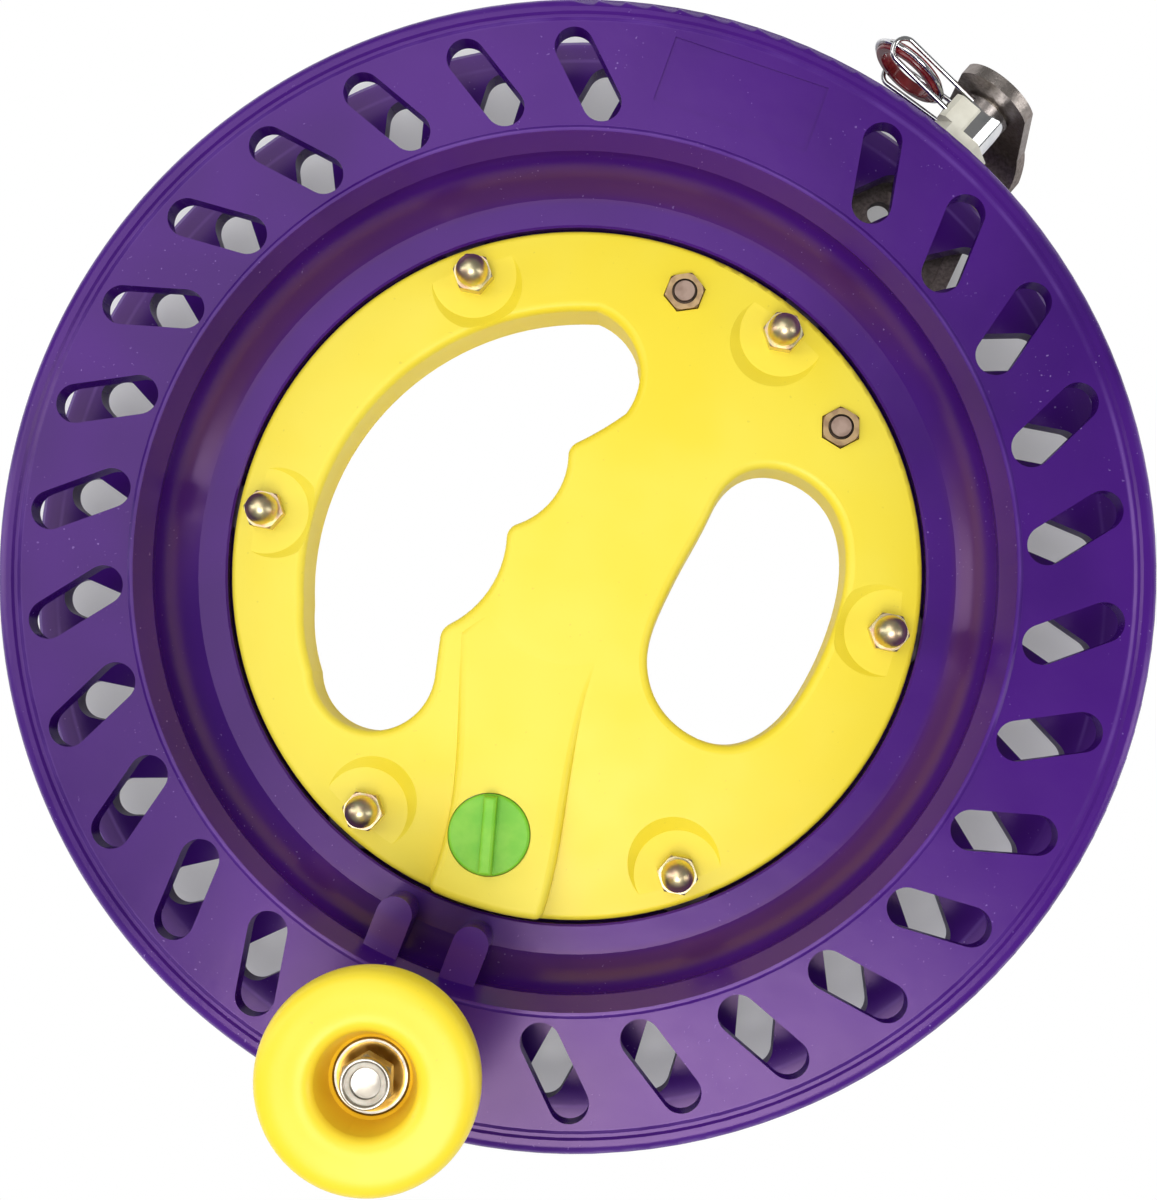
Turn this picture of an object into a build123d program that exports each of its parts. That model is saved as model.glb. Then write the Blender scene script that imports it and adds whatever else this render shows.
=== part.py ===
from build123d import *
import os
from math import asin, cos, degrees, pi, radians, sin, sqrt

# Hand-held kite line reel, 22 cm over its flanges. Millimetres. It lies on its back:
# Z is the wheel's axis, z = 0 is the back of the hub grip, and +Z points to the front,
# where the winding knob stands.

# ---------------------------------------------------------------- wheel sizes
wheel_radius = 110.0
front_face_z = 35.0
flange_thickness = 5.4
wheel_width = 28.5
rim_lip_height = 0.8
rim_lip_width = 4.4
rim_round = 1.9
rim_step_height = 0.4
rim_step_width = 0.6
rim_bevel = 0.5
drum_radius = 82.0
drum_corner = 2.4
parting_z = 14.4

bead_radius = 84.4
bead_height = 0.6
cove_top_radius = 81.2
cove_top_drop = 4.0
cove_bottom_radius = 75.0
cove_bow = (1.6, 1.0)
back_ring_drop = 2.8
lip_face_drop = 15.5
lip_bore_radius = 69.2
lip_edge = 0.4

slot_count = 30
slot_first_angle = 4.15
slot_mid_radius = 95.05
slot_length = 12.3
slot_width = 7.6
slot_slant = 27.6
plaque_slots = (5, 6)
knob_slots = (20, 21)

plaque_angle = 70.35
plaque_radius = 96.4
plaque_size = (31.0, 13.0)
plaque_depth = 0.35

tab_angle = 249.0
tab_width = 6.9
tab_gap = 8.7
tab_reach_radius = 70.4
tab_top_drop = 3.0
tab_root = 0.5

wheel_screw_count = 6
wheel_screw_first_angle = 40.35
wheel_screw_circle = 77.6
wheel_screw_radius = 1.5
wheel_screw_length = 9.0
wheel_screw_head_radius = 2.8
wheel_screw_head_height = 2.0
wheel_screw_pilot_spare = 0.3
cross_slot = (3.2, 0.8)
cross_slot_depth = 1.2

# ---------------------------------------------------------------- bearings
bearing_width = 5.0
bearing_radius = 8.0
bearing_race_radius = 6.2
bearing_inner_race_radius = 3.8
bearing_ball_radius = 1.15
bearing_ball_count = 8
bearing_shield_thickness = 0.3
bearing_shield_gap = 0.2
bearing_shield_inset = 0.05
bearing_edge = 0.4
bearing_shield_lip = 0.1
bearing_circle = 62.6
bearing_count = 6
bearing_first_angle = 48.8
spacer_thickness = 0.5
spacer_radius = 3.6
track_clearance = 0.1
track_side_clearance = 0.2

# ---------------------------------------------------------------- hub sizes
hub_radius = 68.4
hub_edge_round = 1.2
dome_top_z = 25.0
dome_edge_z = 19.6
hub_back_z = 7.8
hub_wall = 2.6
palm_wall = 1.2 * hub_wall
bearing_pocket_clearance = 1.0
cavity_roof_z = 17.6
cavity_floor_z = 10.2
nut_seat_z = 20.2
nut_seat_radius = 8.5
nut_seat_slope = 1.6

grip_top_z = 24.6
grip_end_gap = 0.1
grip_corner_angles = (245.3, 264.7)
grip_corner_round = 1.8
grip_edge_round = 1.6
grip_back_round = 3.0
bolt_radius = 2.0
bolt_clearance = 0.1
hex_nut_flats = 7.0
hex_nut_height = 3.2
bolt_head_height = 2.8

arm_angle = 48.4
arm_bolt_circle = 59.6
arm_bolt_spread = 20.1
arm_nut_seat_z = 18.8
arm_nut_play = 0.2
arm_boss_radius = 6.5

# ---------------------------------------------------------------- lock sizes
lock_knob_circle = 54.0
lock_knob_angle = 252.4
lock_knob_radius = 7.95
lock_knob_top_z = 25.2
lock_knob_disc = 1.9
lock_knob_pivot_radius = 2.5
lock_knob_bar_width = 2.6
lock_knob_bar_height = 3.6
lock_knob_bar_angle = 85.6
lock_peg_radius = 1.25
lock_bolt_bottom_z = 20.0
lock_bolt_thickness = 3.0
lock_bolt_width = 6.6
lock_bolt_tip_radius = 66.4
lock_bolt_left = 7.0
lock_bolt_right = 4.0
lock_bolt_tail = 9.9
lock_bolt_shoulder = 3.9
lock_bolt_travel = 6.0
lock_clearance = 0.15
lock_peg_clearance = 0.25
lock_plate_thickness = 1.6
lock_screw_radius = 1.2

# ---------------------------------------------------------------- knob sizes
knob_angle = 250.35
knob_circle = 93.5
knob_widest_radius = 18.65
knob_widest_z = 80.0
knob_mouth_radius = 8.5
knob_crown_z = 84.0
knob_neck_radius = 9.8
knob_neck_z = 58.0
knob_foot_radius = 10.9
knob_boss_radius = 10.6
knob_boss_height = 2.5
knob_washer_thickness = 1.0
knob_foot_gap = 0.5
knob_bearing_radius = 6.5
knob_bearing_width = 4.0
knob_bearing_top_z = 76.0
knob_bolt_radius = 2.5
knob_bolt_end_z = 81.3
knob_bolt_head_flats = 8.0
knob_bolt_head_height = 3.5
knob_nut_flats = 8.0
knob_nut_height = 5.0
knob_nut_top_z = 83.0
knob_nut_collar_radius = 4.2

# ---------------------------------------------------------------- guide sizes
arm_web = 3.2
arm_rib_top = 4.7
arm_rib_width = 3.0
arm_lobe_radius = 8.0
arm_neck_left = 7.5
arm_neck_right = 12.0
arm_neck_centre = 108.0
arm_neck_side = -2.0
arm_neck_round = 11.0
arm_hollow_centre = 38.0
arm_hollow_radius = 19.0
arm_hole_along = 98.3
arm_hole_side = 3.5
arm_hole_radius = 2.5
arm_rib_start = 70.0
head_face = 123.0
head_thickness = 2.4
head_top_z = 33.3
head_left = 7.6
head_right = 11.0
head_corner = 8.2
head_bend = 8.0
head_bend_start = 113.0
head_root_right = 14.0
head_shoulder_z = 27.0
head_corner_z = 28.4
head_flare_z = 10.0

swivel_side = -0.6
swivel_z = 21.0
swivel_pin_radius = 2.0
swivel_pin_clearance = 0.05
swivel_washer_thickness = 0.6
swivel_inner_end = 112.6
barrel_radius = 5.2
bush_inner_end = 111.8
bush_collar_length = 2.8
bush_flats = 11.4
bush_cheek_end = 120.0
bush_cheek_top = 5.7
bush_cheek_left = 5.7
bush_cheek_right = -0.8

eye_side = 16.4
eye_centre = 118.8
eye_bore_radius = 5.9
eye_radius = 7.8
eye_thickness = 2.4
eye_land = 1.6
wire_radius = 0.5
hairpin_half_width = 2.4
hairpin_apex_side = 18.8
hairpin_apex_rise = 7.0
hairpin_foot_side = 4.2
hairpin_foot_rise = 4.0
hairpin_tail = 3.0
eye_loop_radius = 8.2

# ---------------------------------------------------------------- worked out from the sizes above
front_groove_z = front_face_z - flange_thickness
back_face_z = front_face_z - wheel_width
back_groove_z = back_face_z + flange_thickness
lip_face_z = front_face_z - lip_face_drop
bearing_top_z = parting_z + bearing_width / 2
bearing_bottom_z = parting_z - bearing_width / 2
track_radius = bearing_circle + bearing_radius + track_clearance
track_top_z = bearing_top_z + track_side_clearance
track_bottom_z = bearing_bottom_z - track_side_clearance
pocket_top_z = bearing_top_z + spacer_thickness
pocket_bottom_z = bearing_bottom_z - spacer_thickness
pocket_radius = bearing_radius + bearing_pocket_clearance
dome_rise = dome_top_z - dome_edge_z
dome_sphere_radius = (hub_radius**2 + dome_rise**2) / (2 * dome_rise)
hub_bolt_hole = bolt_radius + bolt_clearance
back_ring_z = back_face_z + back_ring_drop
wheel_screw_head_z = back_ring_z + wheel_screw_head_height
wheel_screw_tip_z = wheel_screw_head_z + wheel_screw_length - wheel_screw_head_height

parts_folder = "parts"
os.makedirs(parts_folder, exist_ok=True)


def direction(angle):
    """Unit vector in the XY plane at an angle in degrees."""
    return Vector(cos(radians(angle)), sin(radians(angle)), 0)


def flat_plane(radius, angle, z, turn=0.0):
    """Plane parallel to XY at a polar place, its x axis along angle + turn."""
    place = direction(angle) * radius + Vector(0, 0, z)
    return Plane(origin=place, x_dir=direction(angle + turn), z_dir=(0, 0, 1))


def arm_plane(z):
    """Plane parallel to XY whose x axis runs outwards along the guide arm."""
    return Plane(origin=(0, 0, z), x_dir=direction(arm_angle), z_dir=(0, 0, 1))


def cross_plane(distance, side=0.0, z=0.0):
    """Plane square to the guide arm: x to the arm's left, y up, normal outwards."""
    out = direction(arm_angle)
    left = direction(arm_angle + 90)
    return Plane(origin=out * distance + left * side + Vector(0, 0, z), x_dir=left, z_dir=out)


def save(part, label):
    """Label a finished piece and write its STEP file."""
    part.label = label
    export_step(part, f"{parts_folder}/{label}.step")


def hub_bolt_places():
    """Polar places of the six bolts that carry the bearings."""
    return [(bearing_circle, bearing_first_angle + 360 / bearing_count * k) for k in range(bearing_count)]


def arm_bolt_places():
    """Polar places of the two bolts that hold the guide arm."""
    return [(arm_bolt_circle, arm_angle + side * arm_bolt_spread) for side in (1, -1)]


def polar_xy(radius, angle, z=0.0):
    """Point at a polar place."""
    return direction(angle) * radius + Vector(0, 0, z)


def turned_plane(radius, angle):
    """Upright plane through a vertical axis at a polar place: x outwards, y up."""
    return Plane(origin=polar_xy(radius, angle), x_dir=direction(angle), z_dir=direction(angle - 90))


def turned_axis(radius, angle):
    """Vertical axis at a polar place."""
    return Axis(polar_xy(radius, angle), (0, 0, 1))


def turned_place(radius, angle, z):
    """Location at a polar place with its x axis outwards."""
    return Location(polar_xy(radius, angle, z), (0, 0, 1), angle)


# ================================================================ wheel
def flange_slots(slant):
    """Centres and headings of the slots that lighten a flange."""
    places = []
    for k in range(slot_count):
        if k not in plaque_slots + knob_slots:
            angle = slot_first_angle + 360 / slot_count * k
            places.append(Location(polar_xy(slot_mid_radius, angle), (0, 0, 1), angle + slant))
    return places


def wheel_screw_places():
    """Polar places of the screws that join the two halves of the wheel."""
    step = 360 / wheel_screw_count
    return [(wheel_screw_circle, wheel_screw_first_angle + step * k) for k in range(wheel_screw_count)]


with BuildPart() as wheel_front:
    with BuildSketch(Plane.XZ) as front_section:
        with BuildLine():
            rim_in = wheel_radius - rim_lip_width
            crest_z = front_face_z + rim_lip_height
            cove_top_z = front_face_z - cove_top_drop
            Polyline(
                (track_radius, parting_z),
                (drum_radius, parting_z),
                (drum_radius, front_groove_z - drum_corner),
            )
            RadiusArc(
                (drum_radius, front_groove_z - drum_corner),
                (drum_radius + drum_corner, front_groove_z),
                -drum_corner,
            )
            Polyline(
                (drum_radius + drum_corner, front_groove_z),
                (wheel_radius - rim_lip_height, front_groove_z),
                (wheel_radius, front_groove_z + rim_lip_height),
                (wheel_radius, crest_z - rim_round),
            )
            RadiusArc((wheel_radius, crest_z - rim_round), (wheel_radius - rim_round, crest_z), -rim_round)
            Polyline(
                (wheel_radius - rim_round, crest_z),
                (rim_in + rim_step_width + 2 * rim_bevel, crest_z),
                (rim_in + rim_step_width + rim_bevel, front_face_z + rim_step_height),
                (rim_in + rim_bevel, front_face_z + rim_step_height),
                (rim_in, front_face_z),
                (bead_radius + bead_height, front_face_z),
                (bead_radius, front_face_z + bead_height),
                (bead_radius - bead_height, front_face_z + bead_height),
                (cove_top_radius, cove_top_z),
            )
            ThreePointArc(
                (cove_top_radius, cove_top_z),
                (cove_top_radius - cove_bow[0], (cove_top_z + lip_face_z) / 2 - cove_bow[1]),
                (cove_bottom_radius, lip_face_z),
            )
            Polyline(
                (cove_bottom_radius, lip_face_z),
                (lip_bore_radius + lip_edge, lip_face_z),
                (lip_bore_radius, lip_face_z - lip_edge),
                (lip_bore_radius, track_top_z),
                (track_radius, track_top_z),
                (track_radius, parting_z),
            )
        make_face()
    revolve(axis=Axis.Z)
    with BuildSketch(Plane.XY.offset(front_groove_z)) as front_slot_sketch:
        with Locations(*flange_slots(slot_slant)):
            SlotCenterToCenter(slot_length, slot_width)
    extrude(amount=flange_thickness + rim_lip_height, mode=Mode.SUBTRACT)
    # the bare plaque between the slots
    with BuildSketch(flat_plane(plaque_radius, plaque_angle, front_face_z - plaque_depth, 90)):
        Rectangle(*plaque_size)
    extrude(amount=plaque_depth + rim_lip_height, mode=Mode.SUBTRACT)
    # two tabs that the lock bolt enters between
    tab_length = drum_radius - tab_reach_radius
    with BuildSketch(flat_plane(tab_reach_radius, tab_angle, lip_face_z - tab_root)):
        with Locations(*[(tab_width / 2, side * (tab_gap + tab_width) / 2) for side in (1, -1)]):
            Circle(tab_width / 2)
            Rectangle(tab_length - tab_width / 2, tab_width, align=(Align.MIN, Align.CENTER))
    extrude(amount=front_face_z - tab_top_drop - lip_face_z + tab_root)
    # seat, bore and head pocket of the knob's bolt
    with BuildSketch(flat_plane(knob_circle, knob_angle, front_face_z)):
        Circle(knob_boss_radius)
    extrude(amount=knob_boss_height)
    with BuildSketch(flat_plane(knob_circle, knob_angle, front_groove_z)):
        Circle(knob_bolt_radius + bolt_clearance)
    extrude(amount=flange_thickness + knob_boss_height, mode=Mode.SUBTRACT)
    with BuildSketch(flat_plane(knob_circle, knob_angle, front_groove_z)):
        RegularPolygon(knob_bolt_head_flats / 2 + bolt_clearance, 6, major_radius=False)
    extrude(amount=knob_bolt_head_height + bolt_clearance, mode=Mode.SUBTRACT)
    # blind pilot holes of the joining screws
    for radius, angle in wheel_screw_places():
        with BuildSketch(flat_plane(radius, angle, parting_z)):
            Circle(wheel_screw_radius)
        extrude(amount=wheel_screw_tip_z + wheel_screw_pilot_spare - parting_z, mode=Mode.SUBTRACT)
save(wheel_front.part, "wheel_front")

with BuildPart() as wheel_back:
    with BuildSketch(Plane.XZ) as back_section:
        with BuildLine():
            crest_z = back_face_z - rim_lip_height
            Polyline(
                (track_radius, parting_z),
                (drum_radius, parting_z),
                (drum_radius, back_groove_z + drum_corner),
            )
            RadiusArc(
                (drum_radius, back_groove_z + drum_corner),
                (drum_radius + drum_corner, back_groove_z),
                drum_corner,
            )
            Polyline(
                (drum_radius + drum_corner, back_groove_z),
                (wheel_radius - rim_lip_height, back_groove_z),
                (wheel_radius, back_groove_z - rim_lip_height),
                (wheel_radius, crest_z + rim_round),
            )
            RadiusArc((wheel_radius, crest_z + rim_round), (wheel_radius - rim_round, crest_z), rim_round)
            Polyline(
                (wheel_radius - rim_round, crest_z),
                (rim_in + rim_step_width + 2 * rim_bevel, crest_z),
                (rim_in + rim_step_width + rim_bevel, back_face_z - rim_step_height),
                (rim_in + rim_bevel, back_face_z - rim_step_height),
                (rim_in, back_face_z),
                (bead_radius + bead_height, back_face_z),
                (bead_radius, back_face_z - bead_height),
                (bead_radius - bead_height, back_face_z - bead_height),
                (cove_top_radius, back_ring_z),
                (lip_bore_radius + lip_edge, back_ring_z),
                (lip_bore_radius, back_ring_z + lip_edge),
                (lip_bore_radius, track_bottom_z),
                (track_radius, track_bottom_z),
                (track_radius, parting_z),
            )
        make_face()
    revolve(axis=Axis.Z)
    with BuildSketch(Plane.XY.offset(back_groove_z)):
        with Locations(*flange_slots(-slot_slant)):
            SlotCenterToCenter(slot_length, slot_width)
    extrude(amount=-flange_thickness - rim_lip_height, mode=Mode.SUBTRACT)
    for radius, angle in wheel_screw_places():
        with BuildSketch(flat_plane(radius, angle, back_face_z)):
            Circle(wheel_screw_radius)
        extrude(amount=parting_z - back_face_z, mode=Mode.SUBTRACT)
        with BuildSketch(flat_plane(radius, angle, back_face_z)):
            Circle(wheel_screw_head_radius + bolt_clearance)
        extrude(amount=wheel_screw_head_z - back_face_z, mode=Mode.SUBTRACT)
save(wheel_back.part, "wheel_back")

with BuildPart() as wheel_screws:
    for radius, angle in wheel_screw_places():
        with BuildSketch(flat_plane(radius, angle, wheel_screw_head_z)):
            Circle(wheel_screw_radius)
        extrude(amount=wheel_screw_length - wheel_screw_head_height)
        with BuildSketch(flat_plane(radius, angle, wheel_screw_head_z)):
            Circle(wheel_screw_head_radius)
        extrude(amount=-wheel_screw_head_height)
        with BuildSketch(flat_plane(radius, angle, wheel_screw_head_z - wheel_screw_head_height)):
            Rectangle(*cross_slot)
            Rectangle(*reversed(cross_slot))
        extrude(amount=cross_slot_depth, mode=Mode.SUBTRACT)
save(wheel_screws.part, "wheel_screws")

# ================================================================ bearings between wheel and hub
bearing_places = hub_bolt_places()


def bearing_outer(radius, angle, low_z, width, outer, race):
    """Outer ring of a small ball bearing with a shield in each face."""
    shield = bearing_shield_thickness
    shield_bore = bearing_inner_race_radius + bearing_shield_gap
    high_z = low_z + width
    with BuildPart() as ring:
        with BuildSketch(turned_plane(radius, angle)):
            with BuildLine():
                Polyline(
                    (race, low_z + shield),
                    (shield_bore, low_z + shield),
                    (shield_bore, low_z + bearing_shield_inset),
                    (race, low_z + bearing_shield_inset),
                    (race + bearing_shield_lip, low_z),
                    (outer - bearing_edge, low_z),
                    (outer, low_z + bearing_edge),
                    (outer, high_z - bearing_edge),
                    (outer - bearing_edge, high_z),
                    (race + bearing_shield_lip, high_z),
                    (race, high_z - bearing_shield_inset),
                    (shield_bore, high_z - bearing_shield_inset),
                    (shield_bore, high_z - shield),
                    (race, high_z - shield),
                    close=True,
                )
            make_face()
        revolve(axis=turned_axis(radius, angle))
    return ring.part


for number, (radius, angle) in enumerate(bearing_places, start=1):
    sizes = (bearing_width, bearing_radius, bearing_race_radius)
    roller = bearing_outer(radius, angle, bearing_bottom_z, *sizes)
    save(roller, f"bearing_ring_{number}")

with BuildPart() as bearing_inner_rings:
    for radius, angle in bearing_places:
        with BuildSketch(flat_plane(radius, angle, bearing_bottom_z)):
            Circle(bearing_inner_race_radius)
            Circle(hub_bolt_hole, mode=Mode.SUBTRACT)
        extrude(amount=bearing_width)
save(bearing_inner_rings.part, "bearing_inner_rings")

with BuildPart() as bearing_balls:
    ball_circle = (bearing_race_radius + bearing_inner_race_radius) / 2
    for radius, angle in bearing_places:
        centre = polar_xy(radius, angle, parting_z)
        for k in range(bearing_ball_count):
            with Locations(centre + direction(360 / bearing_ball_count * k) * ball_circle):
                Sphere(bearing_ball_radius)
save(bearing_balls.part, "bearing_balls")

with BuildPart() as bearing_spacers:
    for radius, angle in bearing_places:
        for low_z in (pocket_bottom_z, bearing_top_z):
            with BuildSketch(flat_plane(radius, angle, low_z)):
                Circle(spacer_radius)
                Circle(hub_bolt_hole, mode=Mode.SUBTRACT)
            extrude(amount=spacer_thickness)
save(bearing_spacers.part, "bearing_spacers")

# ================================================================ hub
# finger opening: a long outer arc, two end caps and a scalloped edge for three fingers
with BuildSketch() as finger_outline:
    with BuildLine():
        ThreePointArc((4.5, 51.8), (-36.6, 36.9), (-53.6, -6.0))
        ThreePointArc((-53.6, -6.0), (-53.4, -13.0), (-51.9, -19.5))
        ThreePointArc((-51.9, -19.5), (-40.2, -31.4), (-27.2, -20.0))
        Line((-27.2, -20.0), (-26.0, -11.2))
        ThreePointArc((-26.0, -11.2), (-16.6, -3.7), (-13.2, 8.6))
        ThreePointArc((-13.2, 8.6), (-3.9, 14.4), (-1.2, 24.4))
        ThreePointArc((-1.2, 24.4), (5.2, 27.7), (10.2, 31.0))
        ThreePointArc((10.2, 31.0), (12.9, 40.5), (4.5, 51.8))
    make_face()
    fillet(finger_outline.vertices().sort_by_distance((-26.0, -11.2))[0], 3.5)
    fillet(finger_outline.vertices().sort_by_distance((-13.2, 8.6))[0], 3.0)
    fillet(finger_outline.vertices().sort_by_distance((-1.2, 24.4))[0], 3.0)

# palm opening: a smooth closed outline, straight on the side of the hub's middle
palm_centre = (33.8, -7.0)
palm_points = (
    (27.4, 12.6),
    (38.8, 20.0),
    (50.0, 13.6),
    (53.3, 3.0),
    (51.4, -9.1),
    (45.6, -22.3),
    (38.6, -30.9),
    (30.6, -34.2),
    (22.4, -32.0),
    (16.0, -25.3),
    (14.4, -16.0),
    (17.4, -6.6),
    (22.3, 3.0),
)


def palm_shape(growth):
    """Outline of the palm opening with every point moved away from its centre by growth."""
    middle = Vector(*palm_centre)
    points = [Vector(*point) + (Vector(*point) - middle).normalized() * growth for point in palm_points]
    with BuildSketch() as shape:
        with BuildLine():
            Spline(*points, periodic=True)
        make_face()
    return shape.sketch


palm_outline = palm_shape(0)

lock_origin = polar_xy(lock_knob_circle, lock_knob_angle)
lock_side = -lock_knob_circle * sin(radians(lock_knob_angle - tab_angle))
lock_out = lock_knob_circle * cos(radians(lock_knob_angle - tab_angle))
lock_bolt_top_z = lock_bolt_bottom_z + lock_bolt_thickness
lock_well_roof_z = lock_bolt_top_z + lock_clearance
lock_well_floor_z = lock_bolt_bottom_z - lock_clearance
lock_well_end = lock_bolt_shoulder + lock_bolt_travel + lock_clearance
lock_well_tail = lock_bolt_tail + lock_clearance
lock_ledge = 6.0
lock_tip_round = 1.5
lock_peg_reach = lock_bolt_travel / sqrt(2)
lock_plate_screw_side = 7.2
lock_plate_screw_reach = 6.5
lock_tip = lock_bolt_tip_radius - lock_out
lock_plate_top_z = lock_well_floor_z
lock_plate_bottom_z = lock_plate_top_z - lock_plate_thickness
lock_disc_bottom_z = lock_knob_top_z - lock_knob_disc


def lock_plane(z):
    """Plane at the lock knob's axis whose x axis runs outwards along the bolt."""
    return Plane(origin=lock_origin + Vector(0, 0, z), x_dir=direction(tab_angle), z_dir=(0, 0, 1))


def strip(x_from, x_to, y_from, y_to):
    """Rectangle between two x and two y values of the sketch's plane."""
    with Locations(((x_from + x_to) / 2, (y_from + y_to) / 2)):
        Rectangle(x_to - x_from, y_to - y_from)


def hub_hollows():
    """Outline of the hub's hollow: inside its rim, clear of openings, pockets and bosses."""
    with BuildSketch() as hollow:
        Circle(hub_radius - 2 * hub_wall)
        offset(finger_outline.sketch, amount=hub_wall, mode=Mode.SUBTRACT)
        add(palm_shape(palm_wall), mode=Mode.SUBTRACT)
        with Locations(*[polar_xy(*place) for place in hub_bolt_places()]):
            Circle(pocket_radius + hub_wall, mode=Mode.SUBTRACT)
        with Locations(*[polar_xy(*place) for place in arm_bolt_places()]):
            Circle(arm_boss_radius, mode=Mode.SUBTRACT)
        with Locations(lock_origin):
            Circle(lock_knob_radius + 2 * hub_wall, mode=Mode.SUBTRACT)
    return hollow.sketch


hub_hollow = hub_hollows()

# raised grip that runs over the hub's face from its middle to the lock
with BuildPart() as grip_block:
    with BuildSketch(Plane.XY.offset(parting_z)) as grip_sketch:
        grip_end = hub_radius - grip_end_gap
        left_corner, right_corner = [polar_xy(grip_end, angle) for angle in grip_corner_angles]
        with BuildLine():
            Spline((-22.5, -12.0), (-22.6, -23.5), (-23.0, -37.1), left_corner)
            RadiusArc(left_corner, right_corner, -grip_end)
            Spline(right_corner, (-0.7, -40.9), (1.7, -29.3), (5.2, -19.6), (12.0, -12.0))
            Line((12.0, -12.0), (-6.0, 2.0))
            Line((-6.0, 2.0), (-22.5, -12.0))
        make_face()
        for corner in (left_corner, right_corner):
            fillet(grip_sketch.vertices().sort_by_distance(corner)[0], grip_corner_round)
    extrude(amount=grip_top_z - parting_z)
    fillet(grip_block.faces().sort_by(Axis.Z)[-1].edges(), grip_edge_round)

with BuildPart() as hub_front:
    with BuildSketch(turned_plane(0, tab_angle)) as dome_section:
        with BuildLine():
            Polyline((0, dome_top_z), (0, parting_z), (hub_radius, parting_z), (hub_radius, dome_edge_z))
            RadiusArc((hub_radius, dome_edge_z), (0, dome_top_z), -dome_sphere_radius)
        make_face()
        fillet(dome_section.vertices().sort_by_distance((hub_radius, dome_edge_z))[0], hub_edge_round)
    revolve(axis=Axis.Z)
    with BuildSketch(Plane.XY.offset(parting_z)):
        add(finger_outline.sketch)
        add(palm_outline)
    extrude(amount=dome_top_z, mode=Mode.SUBTRACT)
    for rim in hub_front.faces().sort_by(Axis.Z)[-1].inner_wires():
        fillet(rim.edges(), grip_edge_round)
    # soft round seats of the domed nuts
    for radius, angle in hub_bolt_places():
        seat_rise = dome_top_z - nut_seat_z
        with BuildSketch(turned_plane(radius, angle)):
            with BuildLine():
                Polyline(
                    (0, nut_seat_z),
                    (nut_seat_radius, nut_seat_z),
                    (nut_seat_radius + nut_seat_slope * seat_rise, dome_top_z),
                    (0, dome_top_z),
                    close=True,
                )
            make_face()
        revolve(axis=turned_axis(radius, angle), mode=Mode.SUBTRACT)
    add(grip_block.part)
    # pockets of the bearings and bores of the bolts
    for radius, angle in hub_bolt_places():
        with BuildSketch(flat_plane(radius, angle, parting_z)):
            Circle(pocket_radius)
        extrude(amount=pocket_top_z - parting_z, mode=Mode.SUBTRACT)
        with BuildSketch(flat_plane(radius, angle, parting_z)):
            Circle(hub_bolt_hole)
        extrude(amount=dome_top_z - parting_z, mode=Mode.SUBTRACT)
    # bores and hexagon seats of the guide arm's bolts
    for radius, angle in arm_bolt_places():
        with BuildSketch(flat_plane(radius, angle, parting_z)):
            Circle(hub_bolt_hole)
        extrude(amount=dome_top_z - parting_z, mode=Mode.SUBTRACT)
        with BuildSketch(flat_plane(radius, angle, arm_nut_seat_z)):
            RegularPolygon(hex_nut_flats / 2 + arm_nut_play, 6, major_radius=False)
        extrude(amount=dome_top_z - arm_nut_seat_z, mode=Mode.SUBTRACT)
    with BuildSketch(Plane.XY.offset(parting_z)):
        add(hub_hollow)
    extrude(amount=cavity_roof_z - parting_z, mode=Mode.SUBTRACT)
    # well, mouth and knob recess of the lock
    with BuildSketch(lock_plane(parting_z)):
        strip(-lock_well_tail, lock_well_end, -lock_bolt_left - lock_clearance, lock_bolt_right + lock_ledge)
    extrude(amount=lock_well_floor_z - parting_z, mode=Mode.SUBTRACT)
    with BuildSketch(lock_plane(lock_well_floor_z)):
        strip(
            -lock_well_tail,
            lock_well_end,
            -lock_bolt_left - lock_clearance,
            lock_bolt_right + lock_clearance,
        )
        strip(
            0,
            hub_radius - lock_out + lock_tip_round,
            lock_side - lock_bolt_width / 2 - lock_clearance,
            lock_side + lock_bolt_width / 2 + lock_clearance,
        )
    extrude(amount=lock_well_roof_z - lock_well_floor_z, mode=Mode.SUBTRACT)
    with BuildSketch(lock_plane(lock_well_roof_z)):
        Circle(lock_knob_radius + lock_clearance)
    extrude(amount=dome_top_z - lock_well_roof_z, mode=Mode.SUBTRACT)
    with BuildSketch(lock_plane(lock_well_floor_z)):
        with Locations(*[(side * lock_plate_screw_reach, lock_plate_screw_side) for side in (1, -1)]):
            Circle(lock_screw_radius)
    extrude(amount=lock_bolt_thickness, mode=Mode.SUBTRACT)
save(hub_front.part, "hub_front")

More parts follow.
